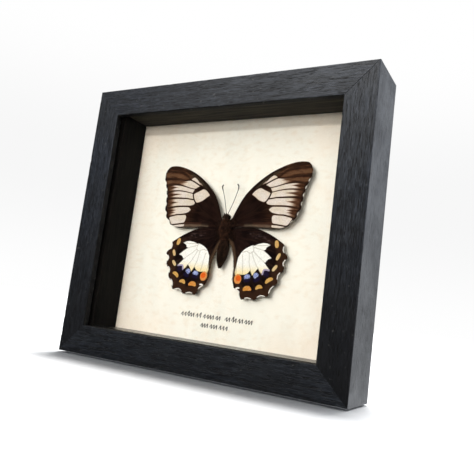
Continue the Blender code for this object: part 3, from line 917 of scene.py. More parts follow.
def forewing_marks(points, edge):
    """Everything the forewing's finish needs to know at each point; edge is the distance to the outline."""
    out, up = points.T
    lined, bare = thicken(points, FORE_VEINS)
    pale = np.zeros(len(points))
    for outline, soft, fade_from, fade_to in FORE_WINDOWS:
        pale = np.maximum(pale, patch(points, outline, soft) * ease(fade_to + 1.5, fade_from - 2, out))
    pale *= ease(-0.22, 0.30, lined) * ease(0.3, -0.5, depth_inside(points, CELL_BAR))
    for line, near, far in FORE_FOLDS:
        (start, level), stop = line[0], line[-1][0]
        half = near + (far - near) * ease(start, stop - 1, out)
        reach = line_distance(points, smooth_line([(start - 3, level + 0.1), *line]))
        pale *= 1 - 0.9 * ease(half + 0.55, half - 0.25, reach) * ease(start - 3, start + 4, out)
    near_notch = np.min([distance_to(points, notch) for notch in FORE_NOTCHES], 0)
    marks = {"pale": pale, "warm": ease(24, 46, out + 0.12 * up) * ease(0.2, 2.6, edge),
             "strip": patch(points, FORE_STRIP, 0.6), "costa": patch(points, FORE_COSTA, 0.5),
             "between": ease(0.1, 1.1, lined) * ease(31, 37, out) * ease(29, 33, up),
             "fringe": ease(0.5, 0.15, edge) * ease(1.3, 0.7, near_notch),
             "grey": streak(points, FORE_GREY, 0.95, 0.8),
             "ray": rays(points, (2.0, 4.0), 3), "vein": ease(0.35, -0.1, lined)}
    return marks, bare


print("forewing marks ready")

# %% [markdown]
# ## The hindwing's veins and spots
#
# The hindwing carries a big white patch that turns yellow towards the body end, a velvet-black field below
# it dusted with blue, six orange-buff lunules along the margin, an orange eyespot at the inner corner, and
# white crescents in the notches of the margin.  The patch is one outline with fingers along the veins, and
# every spot is a blunt oval, tilted and bent.

# %% Hindwing drawing
HIND_VEINS = [
    ([(2, 0.5), (12, 0.6), (25, -1), (34, -4), (41.4, -6.8)], 0.2, 0.3),
    ([(3, -1), (10, -4), (16, -6.2), (20.4, -8.5), (27, -8.4), (32.5, -8.2), (38.2, -10.5), (44.7, -14.5)],
     0.2, 0.3),
    ([(21.4, -9.7), (24.5, -10.4), (28.2, -11.4), (31.4, -13.3), (34.3, -15.6), (38.7, -18.5), (43.1, -21.8)],
     0.2, 0.3),
    ([(21.6, -12.2), (23.7, -14), (25.8, -15.7), (29.1, -18), (33.7, -22.7), (39.5, -30.7)], 0.2, 0.3),
    ([(20.6, -13), (21.7, -15.5), (23.5, -19), (25.1, -21.4), (28.5, -25.5), (32.2, -32), (34.4, -38.4)],
     0.2, 0.3),
    ([(18.7, -13.4), (19.2, -16), (19.5, -19.3), (20.4, -22.2), (21.4, -25), (22.7, -27.5), (24.7, -34),
      (25.4, -41.7)], 0.2, 0.3),
    ([(14.1, -14.8), (15, -19.3), (15.4, -23.5), (15.9, -27.5), (16, -34), (17, -42)], 0.2, 0.3),
    ([(3, -4.5), (6.5, -10.5), (9.5, -16), (10.9, -22), (11, -28), (10.4, -33)], 0.2, 0.3),
    ([(3, -2.5), (8, -8), (13.2, -12.9), (16.2, -12.5), (17.9, -12.9), (19.5, -13.5), (21, -12.7),
      (21.6, -11.8), (21.4, -9.7), (20.4, -8.6)], 0.2, 0.2),
]
WHITE_PATCH = [
    (11.4, -16.8), (12.1, -15.6), (13.2, -13.6), (15, -11.6), (17.2, -10.1), (20.4, -8.6), (22, -8.7),
    (24.5, -7.6), (27.9, -6.8), (30.4, -7), (32.6, -7.9), (30.2, -9.2), (29.6, -10.8), (28.2, -11.2),
    (31.2, -13.1), (34.4, -15.7), (32.2, -16.5), (31.0, -17.7), (30.6, -18.6), (29.4, -18.1), (32, -21),
    (33.9, -22.8), (31.4, -22.4), (30.2, -23.3), (29.5, -25.2), (28.4, -25.4), (27.2, -24.2), (26.1, -22.4),
    (24.5, -24.3), (23.4, -25.8), (22.7, -27.3), (21.7, -25.6), (20.8, -23.9), (20.0, -25.2), (18.6, -26.5),
    (17, -27), (15.9, -27.2), (12.5, -27), (10.8, -28.0), (10.2, -26), (10.6, -23.5), (11, -20.6),
    (11.2, -18.5)]
# Each lunule: middle, half length and half width, tilt in degrees, bend, and how orange it is from 0 to 1
LUNULES = [((36.8, -7.0), (1.3, 2.3), 10, 0.0, 0.30), ((38.7, -14.6), (1.0, 2.3), -24, 0.0, 0.18),
           ((37.2, -21.6), (1.0, 2.3), -38, 0.0, 0.12), ((34.1, -29.0), (2.8, 1.15), 35, 0.45, 0.42),
           ((27.9, -33.6), (2.4, 1.15), 18, 0.75, 0.45), ((20.1, -35.1), (2.9, 1.45), 6, 0.60, 0.80)]
BLUE_DUST = [((19.2, -28.0), (2.1, 1.35), 14, 0.3), ((25.0, -26.8), (1.8, 1.5), 42, 0.3)]
NAVY = [((31.8, -25.4), (1.9, 1.6), -30), ((19.2, -30.3), (2.2, 1.2), 8), ((26.0, -29.4), (2.2, 1.3), 25)]
EYESPOT = (12.8, -30.1)
HIND_NOTCHES = [((43.0, -9.9), 2.1), ((42.9, -18.0), 1.9), ((40.3, -26.0), 2.1), ((36.4, -34.6), 2.5),
                ((30.2, -39.6), 2.6), ((21.4, -41.6), 2.2), ((13.6, -37.4), 1.7)]
HIND_INNER = [(4, -6), (6.6, -11.4), (8.6, -17.7), (9.7, -24.7), (9.5, -30.5)]
HIND_HAZE = [(29.4, -25.8), (30.0, -23.4), (31.2, -22.9), (33.6, -23.2)]
HIND_BRUSHED = [(18, -0.5), (26, -1.4), (33, -4.6), (32, -6), (25, -4.6), (18, -3.2)]

print("hindwing has", len(HIND_VEINS), "veins and", len(LUNULES), "lunules")

# %% Hindwing marks
def strongest(points, spots, soft):
    """The strongest of several daubs at each point."""
    return np.max([daub(points, *spot, soft=soft) for spot in spots], 0)


def hindwing_marks(points, edge):
    out, up = points.T
    lined, bare = thicken(points, HIND_VEINS)
    lunule, orange = np.zeros(len(points)), np.zeros(len(points))
    for middle, half, tilt, bend, hue in LUNULES:
        spot = daub(points, middle, half, tilt, bend)
        orange = np.where(spot > lunule, hue + 0.12 * ease(-2.5, 2.5, out - middle[0]) - 0.06, orange)
        lunule = np.maximum(lunule, spot)
    eye = ease(3.5, 3.0, distance_to(points, EYESPOT) + 0.25 * np.abs(out - EYESPOT[0]))
    fringe = daub(points, (13.4, -35.6), (1.5, 0.5), 10, 0.3)
    for notch, reach in HIND_NOTCHES:
        beside = ease(1.2 * reach, reach, distance_to(points, notch))
        fringe = np.maximum(fringe, ease(0.62, 0.34, edge) * beside)
    marks = {"white": ease(-0.45, 0.35, depth_inside(points, WHITE_PATCH)),
             "yellow": ease(-19.5, -28.0, up - 0.06 * (out - 18)), "lunule": lunule, "orange": orange,
             "eye": eye * (1 - daub(points, (12.5, -33.9), (1.9, 0.9), 8, 0.2)),
             "pupil": eye * ease(2.2, 1.5, distance_to(points, (13.2, -29.6))),
             "blue": strongest(points, BLUE_DUST, 0.45), "violet": strongest(points, NAVY, 0.4),
             "haze": streak(points, HIND_HAZE, 0.55, 0.7),
             "fringe": fringe, "vein": ease(0.22, -0.12, lined), "ray": rays(points, (2.0, 0.0), 5),
             "inner": streak(points, HIND_INNER, 1.5, 0.5),
             "rim": ease(6.5, 2.5, edge) * ease(-3.5, -7, up) * ease(9.5, 13, out),
             "brushed": patch(points, HIND_BRUSHED, 0.9)}
    return marks, bare


print("hindwing marks ready")

# %% [markdown]
# ## Scales, the finish of a wing
#
# A butterfly's colour is a roof of tiny overlapping scales, about a tenth of a millimetre wide, so no edge
# between two colours is a clean line: single scales stray across it.  The painted marks say how much of each
# colour belongs at a point, and adding fine noise before the mark is sharpened lets the edge stray in the same
# way.  Stretched cells give every scale its own shade and a little relief, and a soft sheen stands for the
# velvet look of the dark parts.

# %% Scale helpers
def mark(tree, name, share=1.0):
    """A number painted on the mesh's points, or a share of it."""
    number = put(tree, "Attribute", attribute_name=name).outputs["Fac"]
    return number if share == 1.0 else times(tree, number, share)


def shaded(tree, colour, value):
    """A colour made lighter or darker by a number."""
    grey = put(tree, "CombineColor", {0: value, 1: value, 2: value}).outputs[0]
    return blend(tree, 1.0, colour, grey, "MULTIPLY")


def scale_coat(tree):
    """A 0-1 shade for each scale, the stray noise for the edges of markings, and slow clouds."""
    return speckle(tree, 6.0, (1.0, 1.0, 0.6)), grainy(tree, 3.2, 3.0, 0.7), grainy(tree, 0.16, 4.0, 0.6)


def straying(tree, name, stray, amount=0.5, low=0.34, high=0.66):
    """A painted mark with a ragged edge."""
    shifted = sums(tree, "MULTIPLY_ADD", stray, amount)
    shifted.node.inputs[2].default_value = -0.5 * amount
    return span(tree, sums(tree, "ADD", mark(tree, name), shifted), low, high)


def wing_shader(tree, colour, scale, stray, pale):
    """Shade every scale a little differently; the dark scales have a velvet sheen, the pale ones are matt."""
    height = sums(tree, "ADD", times(tree, scale, 0.6), times(tree, stray, 0.5))
    return {"Base Color": shaded(tree, colour, span(tree, scale, 0, 1, 0.82, 1.12)),
            "Roughness": span(tree, pale, 0, 1, 0.55, 0.8), "Normal": relief(tree, height, 0.03, 0.5),
            "Sheen Weight": 0.03, "Sheen Roughness": 0.4, "Sheen Tint": tone(150, 115, 90),
            "Specular IOR Level": 0.16}


print("scale helpers ready")

# %% Forewing scales
def forewing_scales(tree):
    scale, stray, clouds = scale_coat(tree)
    drawn = grainy(tree, 1.1, 4.0, 0.6, (0.18, 1, 1.0))
    lines = grainy(tree, 1.9, 3.0, 0.6, (0.08, 1, 1))

    def drawn_mark(name, low, high, least, most):
        return sums(tree, "MULTIPLY", mark(tree, name), span(tree, drawn, low, high, least, most))

    dark = blend(tree, span(tree, clouds, 0.35, 0.7), tone(10, 4, 3), tone(24, 12, 9))
    dark = blend(tree, mark(tree, "ray", 0.4), dark, tone(58, 40, 31))
    warm = blend(tree, span(tree, drawn, 0.35, 0.68), tone(42, 22, 12), tone(80, 50, 32))
    warm = blend(tree, span(tree, lines, 0.52, 0.66, 0.0, 0.6), warm, tone(116, 84, 60))
    cream = blend(tree, span(tree, clouds, 0.35, 0.65), tone(222, 208, 186), tone(228, 216, 204))
    cream = blend(tree, span(tree, drawn, 0.45, 0.7, 0.0, 0.35), cream, tone(208, 188, 162))
    cream = blend(tree, span(tree, mark(tree, "pale"), 0.35, 0.95), tone(176, 138, 110), cream)
    pale = straying(tree, "pale", stray, 0.42, 0.16, 0.84)
    coat = layers(tree, dark, (mark(tree, "warm"), warm),
                  (drawn_mark("between", 0.3, 0.6, 0.35, 0.9), tone(102, 72, 50)),
                  (mark(tree, "strip", 0.8), tone(84, 54, 40)),
                  (drawn_mark("costa", 0.4, 0.6, 0.2, 0.75), tone(96, 88, 66)),
                  (drawn_mark("grey", 0.35, 0.65, 0.25, 0.75), tone(108, 92, 76)),
                  (mark(tree, "vein", 0.75), tone(30, 18, 12)),
                  (pale, cream), (straying(tree, "fringe", stray), tone(244, 238, 226)))
    return wing_shader(tree, coat, scale, stray, pale)


fore_material = new_finish("forewing_scales", forewing_scales)
print("forewing scales ready")

# %% Hindwing scales
def hindwing_scales(tree):
    scale, stray, clouds = scale_coat(tree)
    brush = span(tree, grainy(tree, 1.2, 3.0, stretch=(0.3, 1, 1)), 0.5, 0.75, 0.0, 0.7)
    dust = span(tree, grainy(tree, 1.6, 2.0), 0.3, 0.7)
    hue = mark(tree, "orange")
    ivory = blend(tree, mark(tree, "yellow"), tone(253, 251, 241), tone(248, 226, 160))
    ivory = blend(tree, mark(tree, "vein", 0.5), ivory, tone(150, 137, 114))
    blue = blend(tree, dust, tone(78, 92, 172), tone(190, 200, 230))
    buff = blend(tree, span(tree, hue, 0.0, 0.4), tone(220, 198, 150), tone(204, 156, 78))
    buff = layers(tree, buff, (span(tree, hue, 0.4, 1.0), tone(214, 132, 48)),
                  (span(tree, dust, 0.5, 1.0, 0.0, 0.4), tone(228, 196, 140)))
    white = straying(tree, "white", stray)
    coat = blend(tree, span(tree, clouds, 0.35, 0.7), tone(9, 4, 4), tone(24, 13, 10))
    coat = layers(tree, coat, (mark(tree, "ray", 0.35), tone(56, 39, 30)),
                  (mark(tree, "rim", 0.8), tone(50, 31, 20)), (mark(tree, "inner", 0.8), tone(74, 56, 41)),
                  (sums(tree, "MULTIPLY", mark(tree, "brushed"), brush), tone(108, 88, 84)),
                  (mark(tree, "violet", 0.6), tone(24, 20, 50)), (white, ivory),
                  (straying(tree, "blue", stray, 0.9, 0.25, 0.9), blue),
                  (straying(tree, "haze", stray, 0.6, 0.25, 0.9), tone(168, 158, 184)),
                  (straying(tree, "lunule", stray, 0.75), buff),
                  (straying(tree, "eye", stray), tone(222, 146, 78)),
                  (straying(tree, "pupil", stray, 0.5, 0.3, 0.9), tone(224, 96, 30)),
                  (straying(tree, "fringe", stray), tone(248, 243, 232)))
    return wing_shader(tree, coat, scale, stray, sums(tree, "MAXIMUM", white, mark(tree, "lunule")))


hind_material = new_finish("hindwing_scales", hindwing_scales)
print("hindwing scales ready")

# %% [markdown]
# ## The wing sheets
#
# A wing is a stiff skin a tenth of a millimetre thick.  Its veins are raised tubes and the skin sags a little
# between them, and dried wings curl slightly at the tip.  A grid of points a quarter of a millimetre apart is
# laid over the drawing; cells whose middle is inside the outline are kept, and the points along the ragged
# edge that leaves are pulled onto the outline.  The forewing lies in front of the hindwing, so both stay flat
# where they overlap and curl only beyond.

# %% Wing sheet helpers
WING_STEP = 0.26
WING_SKIN = 0.11
VEIN_RISE, VEIN_HALF = 0.13, 0.20
SAG, SAG_REACH = 0.10, 2.2
FORE_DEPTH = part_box("forewing_right")[0].y / MM
HIND_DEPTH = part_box("hindwing_right")[0].y / MM


def wing_grid(ring):
    """Points and quads that fill an outline, with the rim points moved onto it."""
    low, high = ring.min(0) - WING_STEP, ring.max(0) + WING_STEP
    counts = np.ceil((high - low) / WING_STEP).astype(int) + 1
    points = np.stack([*lattice(*(low[k] + WING_STEP * np.arange(counts[k]) for k in (0, 1)))], 1)
    quads = grid_quads(*counts)
    quads = quads[depth_inside(points[quads].mean(1), ring) > 0]
    shared = np.bincount(quads.ravel(), minlength=len(points))
    used = np.flatnonzero(shared)
    rim = used[shared[used] < 4]
    fine = np.vstack([ring, ring[:1]])
    along = np.linspace(0, 1, 12, endpoint=False)[:, None, None]
    fine = ((1 - along) * fine[:-1] + along * fine[1:]).reshape(-1, 2)
    for index in rim:
        points[index] = fine[np.argmin(((fine - points[index]) ** 2).sum(1))]
    renumber = np.full(len(points), -1)
    renumber[used] = np.arange(len(used))
    return points[used], renumber[quads]


def make_wing(name, ring, marks_of, stance, side, material, depth, curl, seed):
    drawn, quads = wing_grid(ring)
    edge = depth_inside(drawn, ring)
    marks, bare = marks_of(drawn, edge)
    placed = set_wing(drawn, stance, side)
    ridge = VEIN_RISE * np.exp(-(bare / VEIN_HALF) ** 2) * ease(0, 1.5, edge)
    sag = SAG * (1 - np.exp(-(bare / SAG_REACH) ** 2))
    y = depth - ridge + sag + curl(drawn) + 0.06 * ripples(placed[:, 0], placed[:, 1], 16, seed)
    front = np.stack([placed[:, 0], y, placed[:, 1]], 1) * MM
    if side < 0:
        quads = quads[:, ::-1]
    points, faces = close_sheet(front, quads, WING_SKIN * MM)
    wing = make_item(name + "_scaled", points, faces, material)
    for mark_name, values in marks.items():
        paint(wing, mark_name, np.tile(values, 2))
    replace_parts(wing, name)
    print(name, "has", len(faces), "faces")


print("forewings lie at", round(FORE_DEPTH, 2), "mm and hindwings at", round(HIND_DEPTH, 2), "mm")

# %% Four wings
def fore_curl(drawn):
    """The tip leans a little towards the glass and the outer margin rolls back."""
    out, up = drawn.T
    return -0.5 * ease(20, 50, up) + 0.55 * ease(44, 55, out) * ease(8, 20, up)


def hind_curl(drawn):
    out, up = drawn.T
    margin = ease(14, 40, np.hypot(out - 18, up + 16))
    return 0.35 * margin * np.sin(0.55 * out + 0.2 * up) * ease(-4, -12, up) + 0.2 * ease(-10, -40, up)


WINGS = [("forewing_right", FORE_RING, forewing_marks, AS_DRAWN, 1, fore_material, FORE_DEPTH, fore_curl, 21),
         ("forewing_left", FORE_RING, forewing_marks, LEFT_FORE_SET, -1, fore_material,
          FORE_DEPTH, fore_curl, 22),
         ("hindwing_right", HIND_RING, hindwing_marks, AS_DRAWN, 1, hind_material, HIND_DEPTH, hind_curl, 23),
         ("hindwing_left", HIND_RING, hindwing_marks, LEFT_HIND_SET, -1, hind_material,
          HIND_DEPTH, hind_curl, 24)]
for wing in WINGS:
    make_wing(*wing)

# %% [markdown]
# ## The body
#
# Under its fur the body is three plain shapes in a row: a round head, a deep thorax that holds the flight
# muscles, and a tapering abdomen in short overlapping rings.  Each could be a squashed sphere, but a run of
# ovals of chosen widths gives the neck, the waist and the grooves between the rings, and the same run of
# ovals tells the hairs where to grow and which way is out.

# %% Body skins
def body_depth(depth):
    """Model Y in millimetres of a depth measured from the face of the frame."""
    return depth + box_at_start[0][1] / MM


def oval_run(stations, count):
    """Smooth ovals from a few (x, depth, z, half width, half depth) stations."""
    ends = np.array(stations, float)
    run = np.array(smooth_run(ends, max(2, count // (len(ends) - 1))) + [ends[-1]])
    run[:, 1] = body_depth(run[:, 1])
    return run


def skin_from(name, run, material, sides=28, swell=1.0):
    turns = 2 * math.pi * np.arange(sides) / sides
    x = run[:, 0, None] + (swell * run[:, 3])[:, None] * np.cos(turns)
    y = run[:, 1, None] + (swell * run[:, 4])[:, None] * np.sin(turns)
    z = np.broadcast_to(run[:, 2, None], x.shape)
    return make_item(name, metres(x, y, z), hoop_faces(len(run), sides), material)


def bare_horn(tree, dark, light):
    """The bare horn of an insect: near black, slightly glossy, finely wrinkled."""
    wrinkle = grainy(tree, 1.6, 4.0, 0.65, (1, 1, 3))
    skin = blend(tree, span(tree, grainy(tree, 0.5, 3.0), 0.35, 0.7), dark, light)
    return {"Base Color": skin, "Roughness": span(tree, wrinkle, 0.3, 0.7, 0.5, 0.7),
            "Normal": relief(tree, wrinkle, 0.06, 0.6), "Specular IOR Level": 0.3}


# Each oval: x, depth, z, half width and half depth
THORAX = [(2.8, 25.6, 97.0, 1.2, 1.1), (2.8, 25.7, 96.0, 2.2, 2.0), (2.8, 25.8, 94.3, 3.1, 3.0),
          (2.8, 26.0, 91.6, 3.8, 3.5), (2.8, 26.1, 89.0, 3.8, 3.5), (2.75, 26.2, 86.8, 3.3, 3.1),
          (2.7, 26.2, 85.4, 2.7, 2.6), (2.7, 26.2, 84.4, 2.3, 2.2)]
ABDOMEN = [(2.7, 26.2, 84.3, 2.0, 1.9), (2.7, 26.2, 83.2, 2.9, 2.6), (2.55, 26.2, 81.0, 3.5, 3.0),
           (2.3, 26.2, 78.0, 3.75, 3.1), (2.1, 26.2, 75.0, 3.6, 3.0), (1.8, 26.2, 72.0, 3.0, 2.6),
           (1.5, 26.2, 69.2, 2.0, 1.8), (1.3, 26.2, 67.3, 1.0, 0.9), (1.25, 26.2, 66.4, 0.35, 0.3)]
HEAD = [(2.8, 25.0, 96.4, 1.0, 1.0), (2.8, 24.9, 96.9, 1.9, 1.7), (2.8, 24.8, 98.0, 2.3, 2.1),
        (2.8, 24.8, 99.2, 1.9, 1.8), (2.8, 24.8, 100.1, 0.6, 0.6)]
RING_PITCH = 2.05

horn = new_finish("dark_horn", bare_horn, tone(10, 6, 5), tone(30, 19, 13))
thorax_run, abdomen_run, head_run = oval_run(THORAX, 42), oval_run(ABDOMEN, 96), oval_run(HEAD, 24)
down_run = (abdomen_run[0, 2] - abdomen_run[:, 2]) / RING_PITCH
groove = 1 - 0.10 * ease(0.80, 1.0, down_run % 1) * ease(0.2, 0.6, down_run)
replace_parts(skin_from("thorax_skin", thorax_run, horn), "thorax")
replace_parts(skin_from("abdomen_skin", abdomen_run, horn, swell=groove), "abdomen")
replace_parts(skin_from("head_skin", head_run[::-1], horn), "head")
print("body skins made from", len(THORAX) + len(ABDOMEN) + len(HEAD), "ovals")

# %% [markdown]
# ## Fur
#
# Living or dried, a swallowtail's thorax is thickly furred, its head has a short brush, and the abdomen wears
# close-lying down.  Particle hair would not survive an export, so each hair is real mesh: a three-sided spike
# in two lengths, bent part way.  Roots are scattered over the ovals; every hair leaves along the outward
# direction, is combed towards the tail, and is given its own length and shade.

# %% Hair helpers
HAIR_POINTS = 7
KNEE_AT, KNEE_WIDTH = 0.55, 0.75


def grow_hairs(name, roots, aims, lengths, width, sag, material, seed):
    """One mesh of spikes from roots, along aims, drooping by sag as a share of their length."""
    dice = np.random.default_rng(seed)
    count = len(roots)
    aims = aims / np.linalg.norm(aims, axis=1, keepdims=True)
    side = np.cross(aims, dice.normal(size=(count, 3)))
    side /= np.linalg.norm(side, axis=1, keepdims=True)
    other = np.cross(aims, side)
    knee = roots + aims * KNEE_AT * lengths[:, None]
    tip = roots + aims * lengths[:, None] + sag * lengths[:, None]
    corners = []
    for centre, wide in ((roots, 1.0), (knee, KNEE_WIDTH)):
        for k in range(3):
            turn = 2 * math.pi * k / 3
            corners.append(centre + 0.5 * width * wide * (side * math.cos(turn) + other * math.sin(turn)))
    points = np.stack([*corners, tip], 1)
    pattern = [(0, 1, 4, 3), (1, 2, 5, 4), (2, 0, 3, 5)]
    first = HAIR_POINTS * np.arange(count)[:, None]
    quads = np.concatenate([first + np.array(face) for face in pattern]).tolist()
    tops = np.concatenate([first + np.array(face) for face in ((3, 4, 6), (4, 5, 6), (5, 3, 6))]).tolist()
    hairs = make_item(name, points.reshape(-1, 3) * MM, quads + tops, material)
    paint(hairs, "shade", np.repeat(dice.random(count), HAIR_POINTS))
    paint(hairs, "reach", np.tile((0, 0, 0, KNEE_AT, KNEE_AT, KNEE_AT, 1), count))
    print(name, "has", count, "hairs")
    return hairs


def roots_on(run, count, spread, seed):
    """Random places on the front of a run of ovals, with the outward direction at each."""
    dice = np.random.default_rng(seed)
    place = dice.uniform(0.01, 0.99, count) * (len(run) - 1)
    x, y, z, wide, deep = (np.interp(place, np.arange(len(run)), run[:, k]) for k in range(5))
    turn = -0.5 * math.pi + dice.uniform(-spread, spread, count)
    out = np.stack([np.cos(turn) / wide, np.sin(turn) / deep, np.zeros(count)], 1)
    out /= np.linalg.norm(out, axis=1, keepdims=True)
    slope = np.gradient(0.5 * (run[:, 3] + run[:, 4]), run[:, 2])
    out[:, 2] = -np.interp(place, np.arange(len(run)), slope)
    roots = np.stack([x + 0.96 * wide * np.cos(turn), y + 0.96 * deep * np.sin(turn), z], 1)
    return roots, out, dice


print("hair helpers ready")

# %% Coats of fur
def grow_coat(name, run, material, count, spread, seed, outward, lean, stray, lengths, width, sag):
    """Hairs over a run of ovals; lean is the way they are combed, and stray is how untidily they lie."""
    roots, out, dice = roots_on(run, count, spread, seed)
    aims = outward * out + lean + dice.normal(scale=stray, size=out.shape)
    grow_hairs(name, roots, aims, dice.uniform(*lengths, count), width, sag * COMB, material, seed + 1)


def fur(tree, root, tip, shine):
    strand = blend(tree, mark(tree, "reach"), root, tip)
    strand = shaded(tree, strand, span(tree, mark(tree, "shade"), 0, 1, 0.45, 1.35))
    strand = shaded(tree, strand, span(tree, grainy(tree, 0.5, 2.0), 0.35, 0.65, 0.35, 1.4))
    return {"Base Color": strand, "Roughness": span(tree, mark(tree, "shade"), 0, 1, 0.45, 0.7),
            "Specular IOR Level": shine}


COMB = np.array((0, 0, -1.0))
brown_fur = new_finish("brown_fur", fur, tone(18, 9, 7), tone(92, 62, 46), 0.3)
abdomen_fur = new_finish("abdomen_fur", fur, tone(18, 11, 8), tone(88, 63, 46), 0.2)

grow_coat("thorax_fur", thorax_run, brown_fur, count=5200, spread=1.9, seed=31, outward=1.0,
          lean=0.75 * COMB, stray=0.28, lengths=(0.7, 2.0), width=0.10, sag=0.22)
grow_coat("abdomen_down", abdomen_run, abdomen_fur, count=5200, spread=1.9, seed=33, outward=0.35,
          lean=1.2 * COMB, stray=0.16, lengths=(0.5, 1.2), width=0.09, sag=0.1)
grow_coat("head_brush", head_run, brown_fur, count=1300, spread=2.2, seed=35, outward=1.0,
          lean=np.array((0, -0.1, 0.25)), stray=0.35, lengths=(0.4, 1.1), width=0.06, sag=0.0)

# %% [markdown]
# Long soft hairs also run out from the thorax over the root of each wing, and down the inner edge of the
# hindwings beside the abdomen.  They lie almost flat, so their aim is the wing's own direction with a slight
# rise towards the glass at the root.

# %% Wing root hairs
FAN_HAIRS = 620
# Each fan: its side, middle level, half height, the angle it points at, and its depth
ROOT_FANS = [(1, 93.2, 2.6, 34, FORE_DEPTH - 0.3), (-1, 92.2, 2.6, 34, FORE_DEPTH - 0.3),
             (1, 87.6, 2.2, -24, HIND_DEPTH - 0.7), (-1, 87.2, 2.2, -24, HIND_DEPTH - 0.7)]
fan_roots, fan_aims, fan_lengths = [], [], []
dice = np.random.default_rng(41)
for side, level, tall, angle, depth in ROOT_FANS:
    heading = np.radians(angle + dice.normal(scale=17, size=FAN_HAIRS))
    x = BODY_X + side * dice.uniform(2.6, 4.4, FAN_HAIRS)
    y = depth - dice.uniform(0, 0.7, FAN_HAIRS)
    fan_roots.append(np.stack([x, y, level + dice.uniform(-tall, tall, FAN_HAIRS)], 1))
    rise = dice.uniform(-0.02, 0.14, FAN_HAIRS)
    fan_aims.append(np.stack([side * np.cos(heading), rise, np.sin(heading)], 1))
    fan_lengths.append(dice.uniform(1.8, 5.2, FAN_HAIRS))
root_fur = new_finish("root_fur", fur, tone(16, 9, 7), tone(58, 38, 28), 0.35)
roots, aims, lengths = (np.concatenate(rows) for rows in (fan_roots, fan_aims, fan_lengths))
grow_hairs("wing_root_hair", roots, aims, lengths, 0.06, 0.06 * COMB, root_fur, 42)

EDGE_HAIRS = 420
edge_line = smooth_line([(3.7, -6.8), (6.2, -11.8), (8.1, -17.7), (9.1, -24.7), (9.0, -30.5)], 12)
edge_roots, edge_aims = [], []
for stance, side in ((AS_DRAWN, 1), (LEFT_HIND_SET, -1)):
    pick = dice.integers(0, len(edge_line) - 1, EDGE_HAIRS)
    base = set_wing(edge_line[pick] + dice.uniform(-0.2, 1.2, (EDGE_HAIRS, 2)) * (1, 0.2), stance, side)
    edge_roots.append(np.stack([base[:, 0], np.full(EDGE_HAIRS, HIND_DEPTH - 0.02), base[:, 1]], 1))
    inward = -side * dice.uniform(0.1, 0.5, EDGE_HAIRS)
    rise = dice.uniform(-0.05, 0.15, EDGE_HAIRS)
    edge_aims.append(np.stack([inward, rise, -np.ones(EDGE_HAIRS)], 1))
tan_fur = new_finish("tan_fur", fur, tone(70, 54, 40), tone(120, 98, 76), 0.3)
grow_hairs("inner_edge_hair", np.concatenate(edge_roots), np.concatenate(edge_aims),
           dice.uniform(0.8, 2.0, 2 * EDGE_HAIRS), 0.06, 0 * COMB, tan_fur, 43)

# %% [markdown]
# ## Fringe
#
# The outer margin of every wing ends in a row of longer scales.  They are dark at the vein tips and white in
# the notches between them.  Each is a short spike pointing straight out of the outline, and the white ones
# are told apart by their distance to the middle of a notch.

# %% Fringe scales
SCALE_PITCH = 0.085
SLOPE_STEP = 0.3


def walked_along(line):
    """The length walked from the start of a line to each of its points."""
    return np.concatenate([[0], np.cumsum(np.hypot(*np.diff(line, axis=0).T))])


def make_fringe(name, ring, tips, stance, side, depth, notches, reach, seed):
    dice = np.random.default_rng(seed)
    start, stop = (np.argmin(distance_to(ring, tip)) for tip in (tips[0], tips[-1]))
    margin = ring[start:stop + 1]
    walked = walked_along(margin)
    count = int(walked[-1] / SCALE_PITCH)
    place = np.sort(dice.uniform(0, walked[-1], count))
    base, ahead, behind = (np.stack([np.interp(place + step, walked, margin[:, k]) for k in (0, 1)], 1)
                           for step in (0, SLOPE_STEP, -SLOPE_STEP))
    run = ahead - behind
    out = np.stack([-run[:, 1], run[:, 0]], 1) / (np.hypot(*run.T)[:, None] + 1e-9)
    x, z = set_wing(base - 0.15 * out, stance, side).T
    stray = dice.normal(scale=0.22, size=out.shape)
    across, up = (set_wing(base + out + stray, stance, side) - set_wing(base, stance, side)).T
    roots = np.stack([x, depth(base) + 0.03, z], 1)
    aims = np.stack([across, np.zeros(count), up], 1)
    lengths = dice.uniform(0.35, 0.75, count)
    fringe = grow_hairs(name, roots, aims, lengths, 0.10, 0 * COMB, fringe_material, seed)
    near = np.min([distance_to(base, notch) for notch in notches], 0)
    paint(fringe, "white", np.repeat(ease(reach, 0.7 * reach, near), HAIR_POINTS))


def fringe_scales(tree):
    scale = blend(tree, mark(tree, "white"), tone(46, 29, 20), tone(244, 238, 226))
    scale = shaded(tree, scale, span(tree, mark(tree, "shade"), 0, 1, 0.75, 1.1))
    return {"Base Color": scale, "Roughness": span(tree, mark(tree, "shade"), 0, 1, 0.6, 0.8)}


fringe_material = new_finish("fringe_scales", fringe_scales)
hind_notches = [notch for notch, _ in HIND_NOTCHES]
PAIRS = [(1, AS_DRAWN, AS_DRAWN, "right"), (-1, LEFT_FORE_SET, LEFT_HIND_SET, "left")]
for side, fore_set, hind_set, word in PAIRS:
    make_fringe("forewing_fringe_" + word, FORE_RING, FORE_TIPS, fore_set, side,
                lambda drawn: FORE_DEPTH + fore_curl(drawn), FORE_NOTCHES, 1.5, 50 + side)
    make_fringe("hindwing_fringe_" + word, HIND_RING, HIND_TIPS, hind_set, side,
                lambda drawn: HIND_DEPTH + hind_curl(drawn), hind_notches, 2.4, 60 + side)

# %% [markdown]
# ## Eyes, palps and antennae
#
# Two big compound eyes take up the sides of the head, with a pair of furry palps between them.  The antennae
# are fine jointed rods that swell into a hooked club.  A bevelled curve would give the rod, but a swept tube
# whose radius rises and falls gives its joints and club as well.

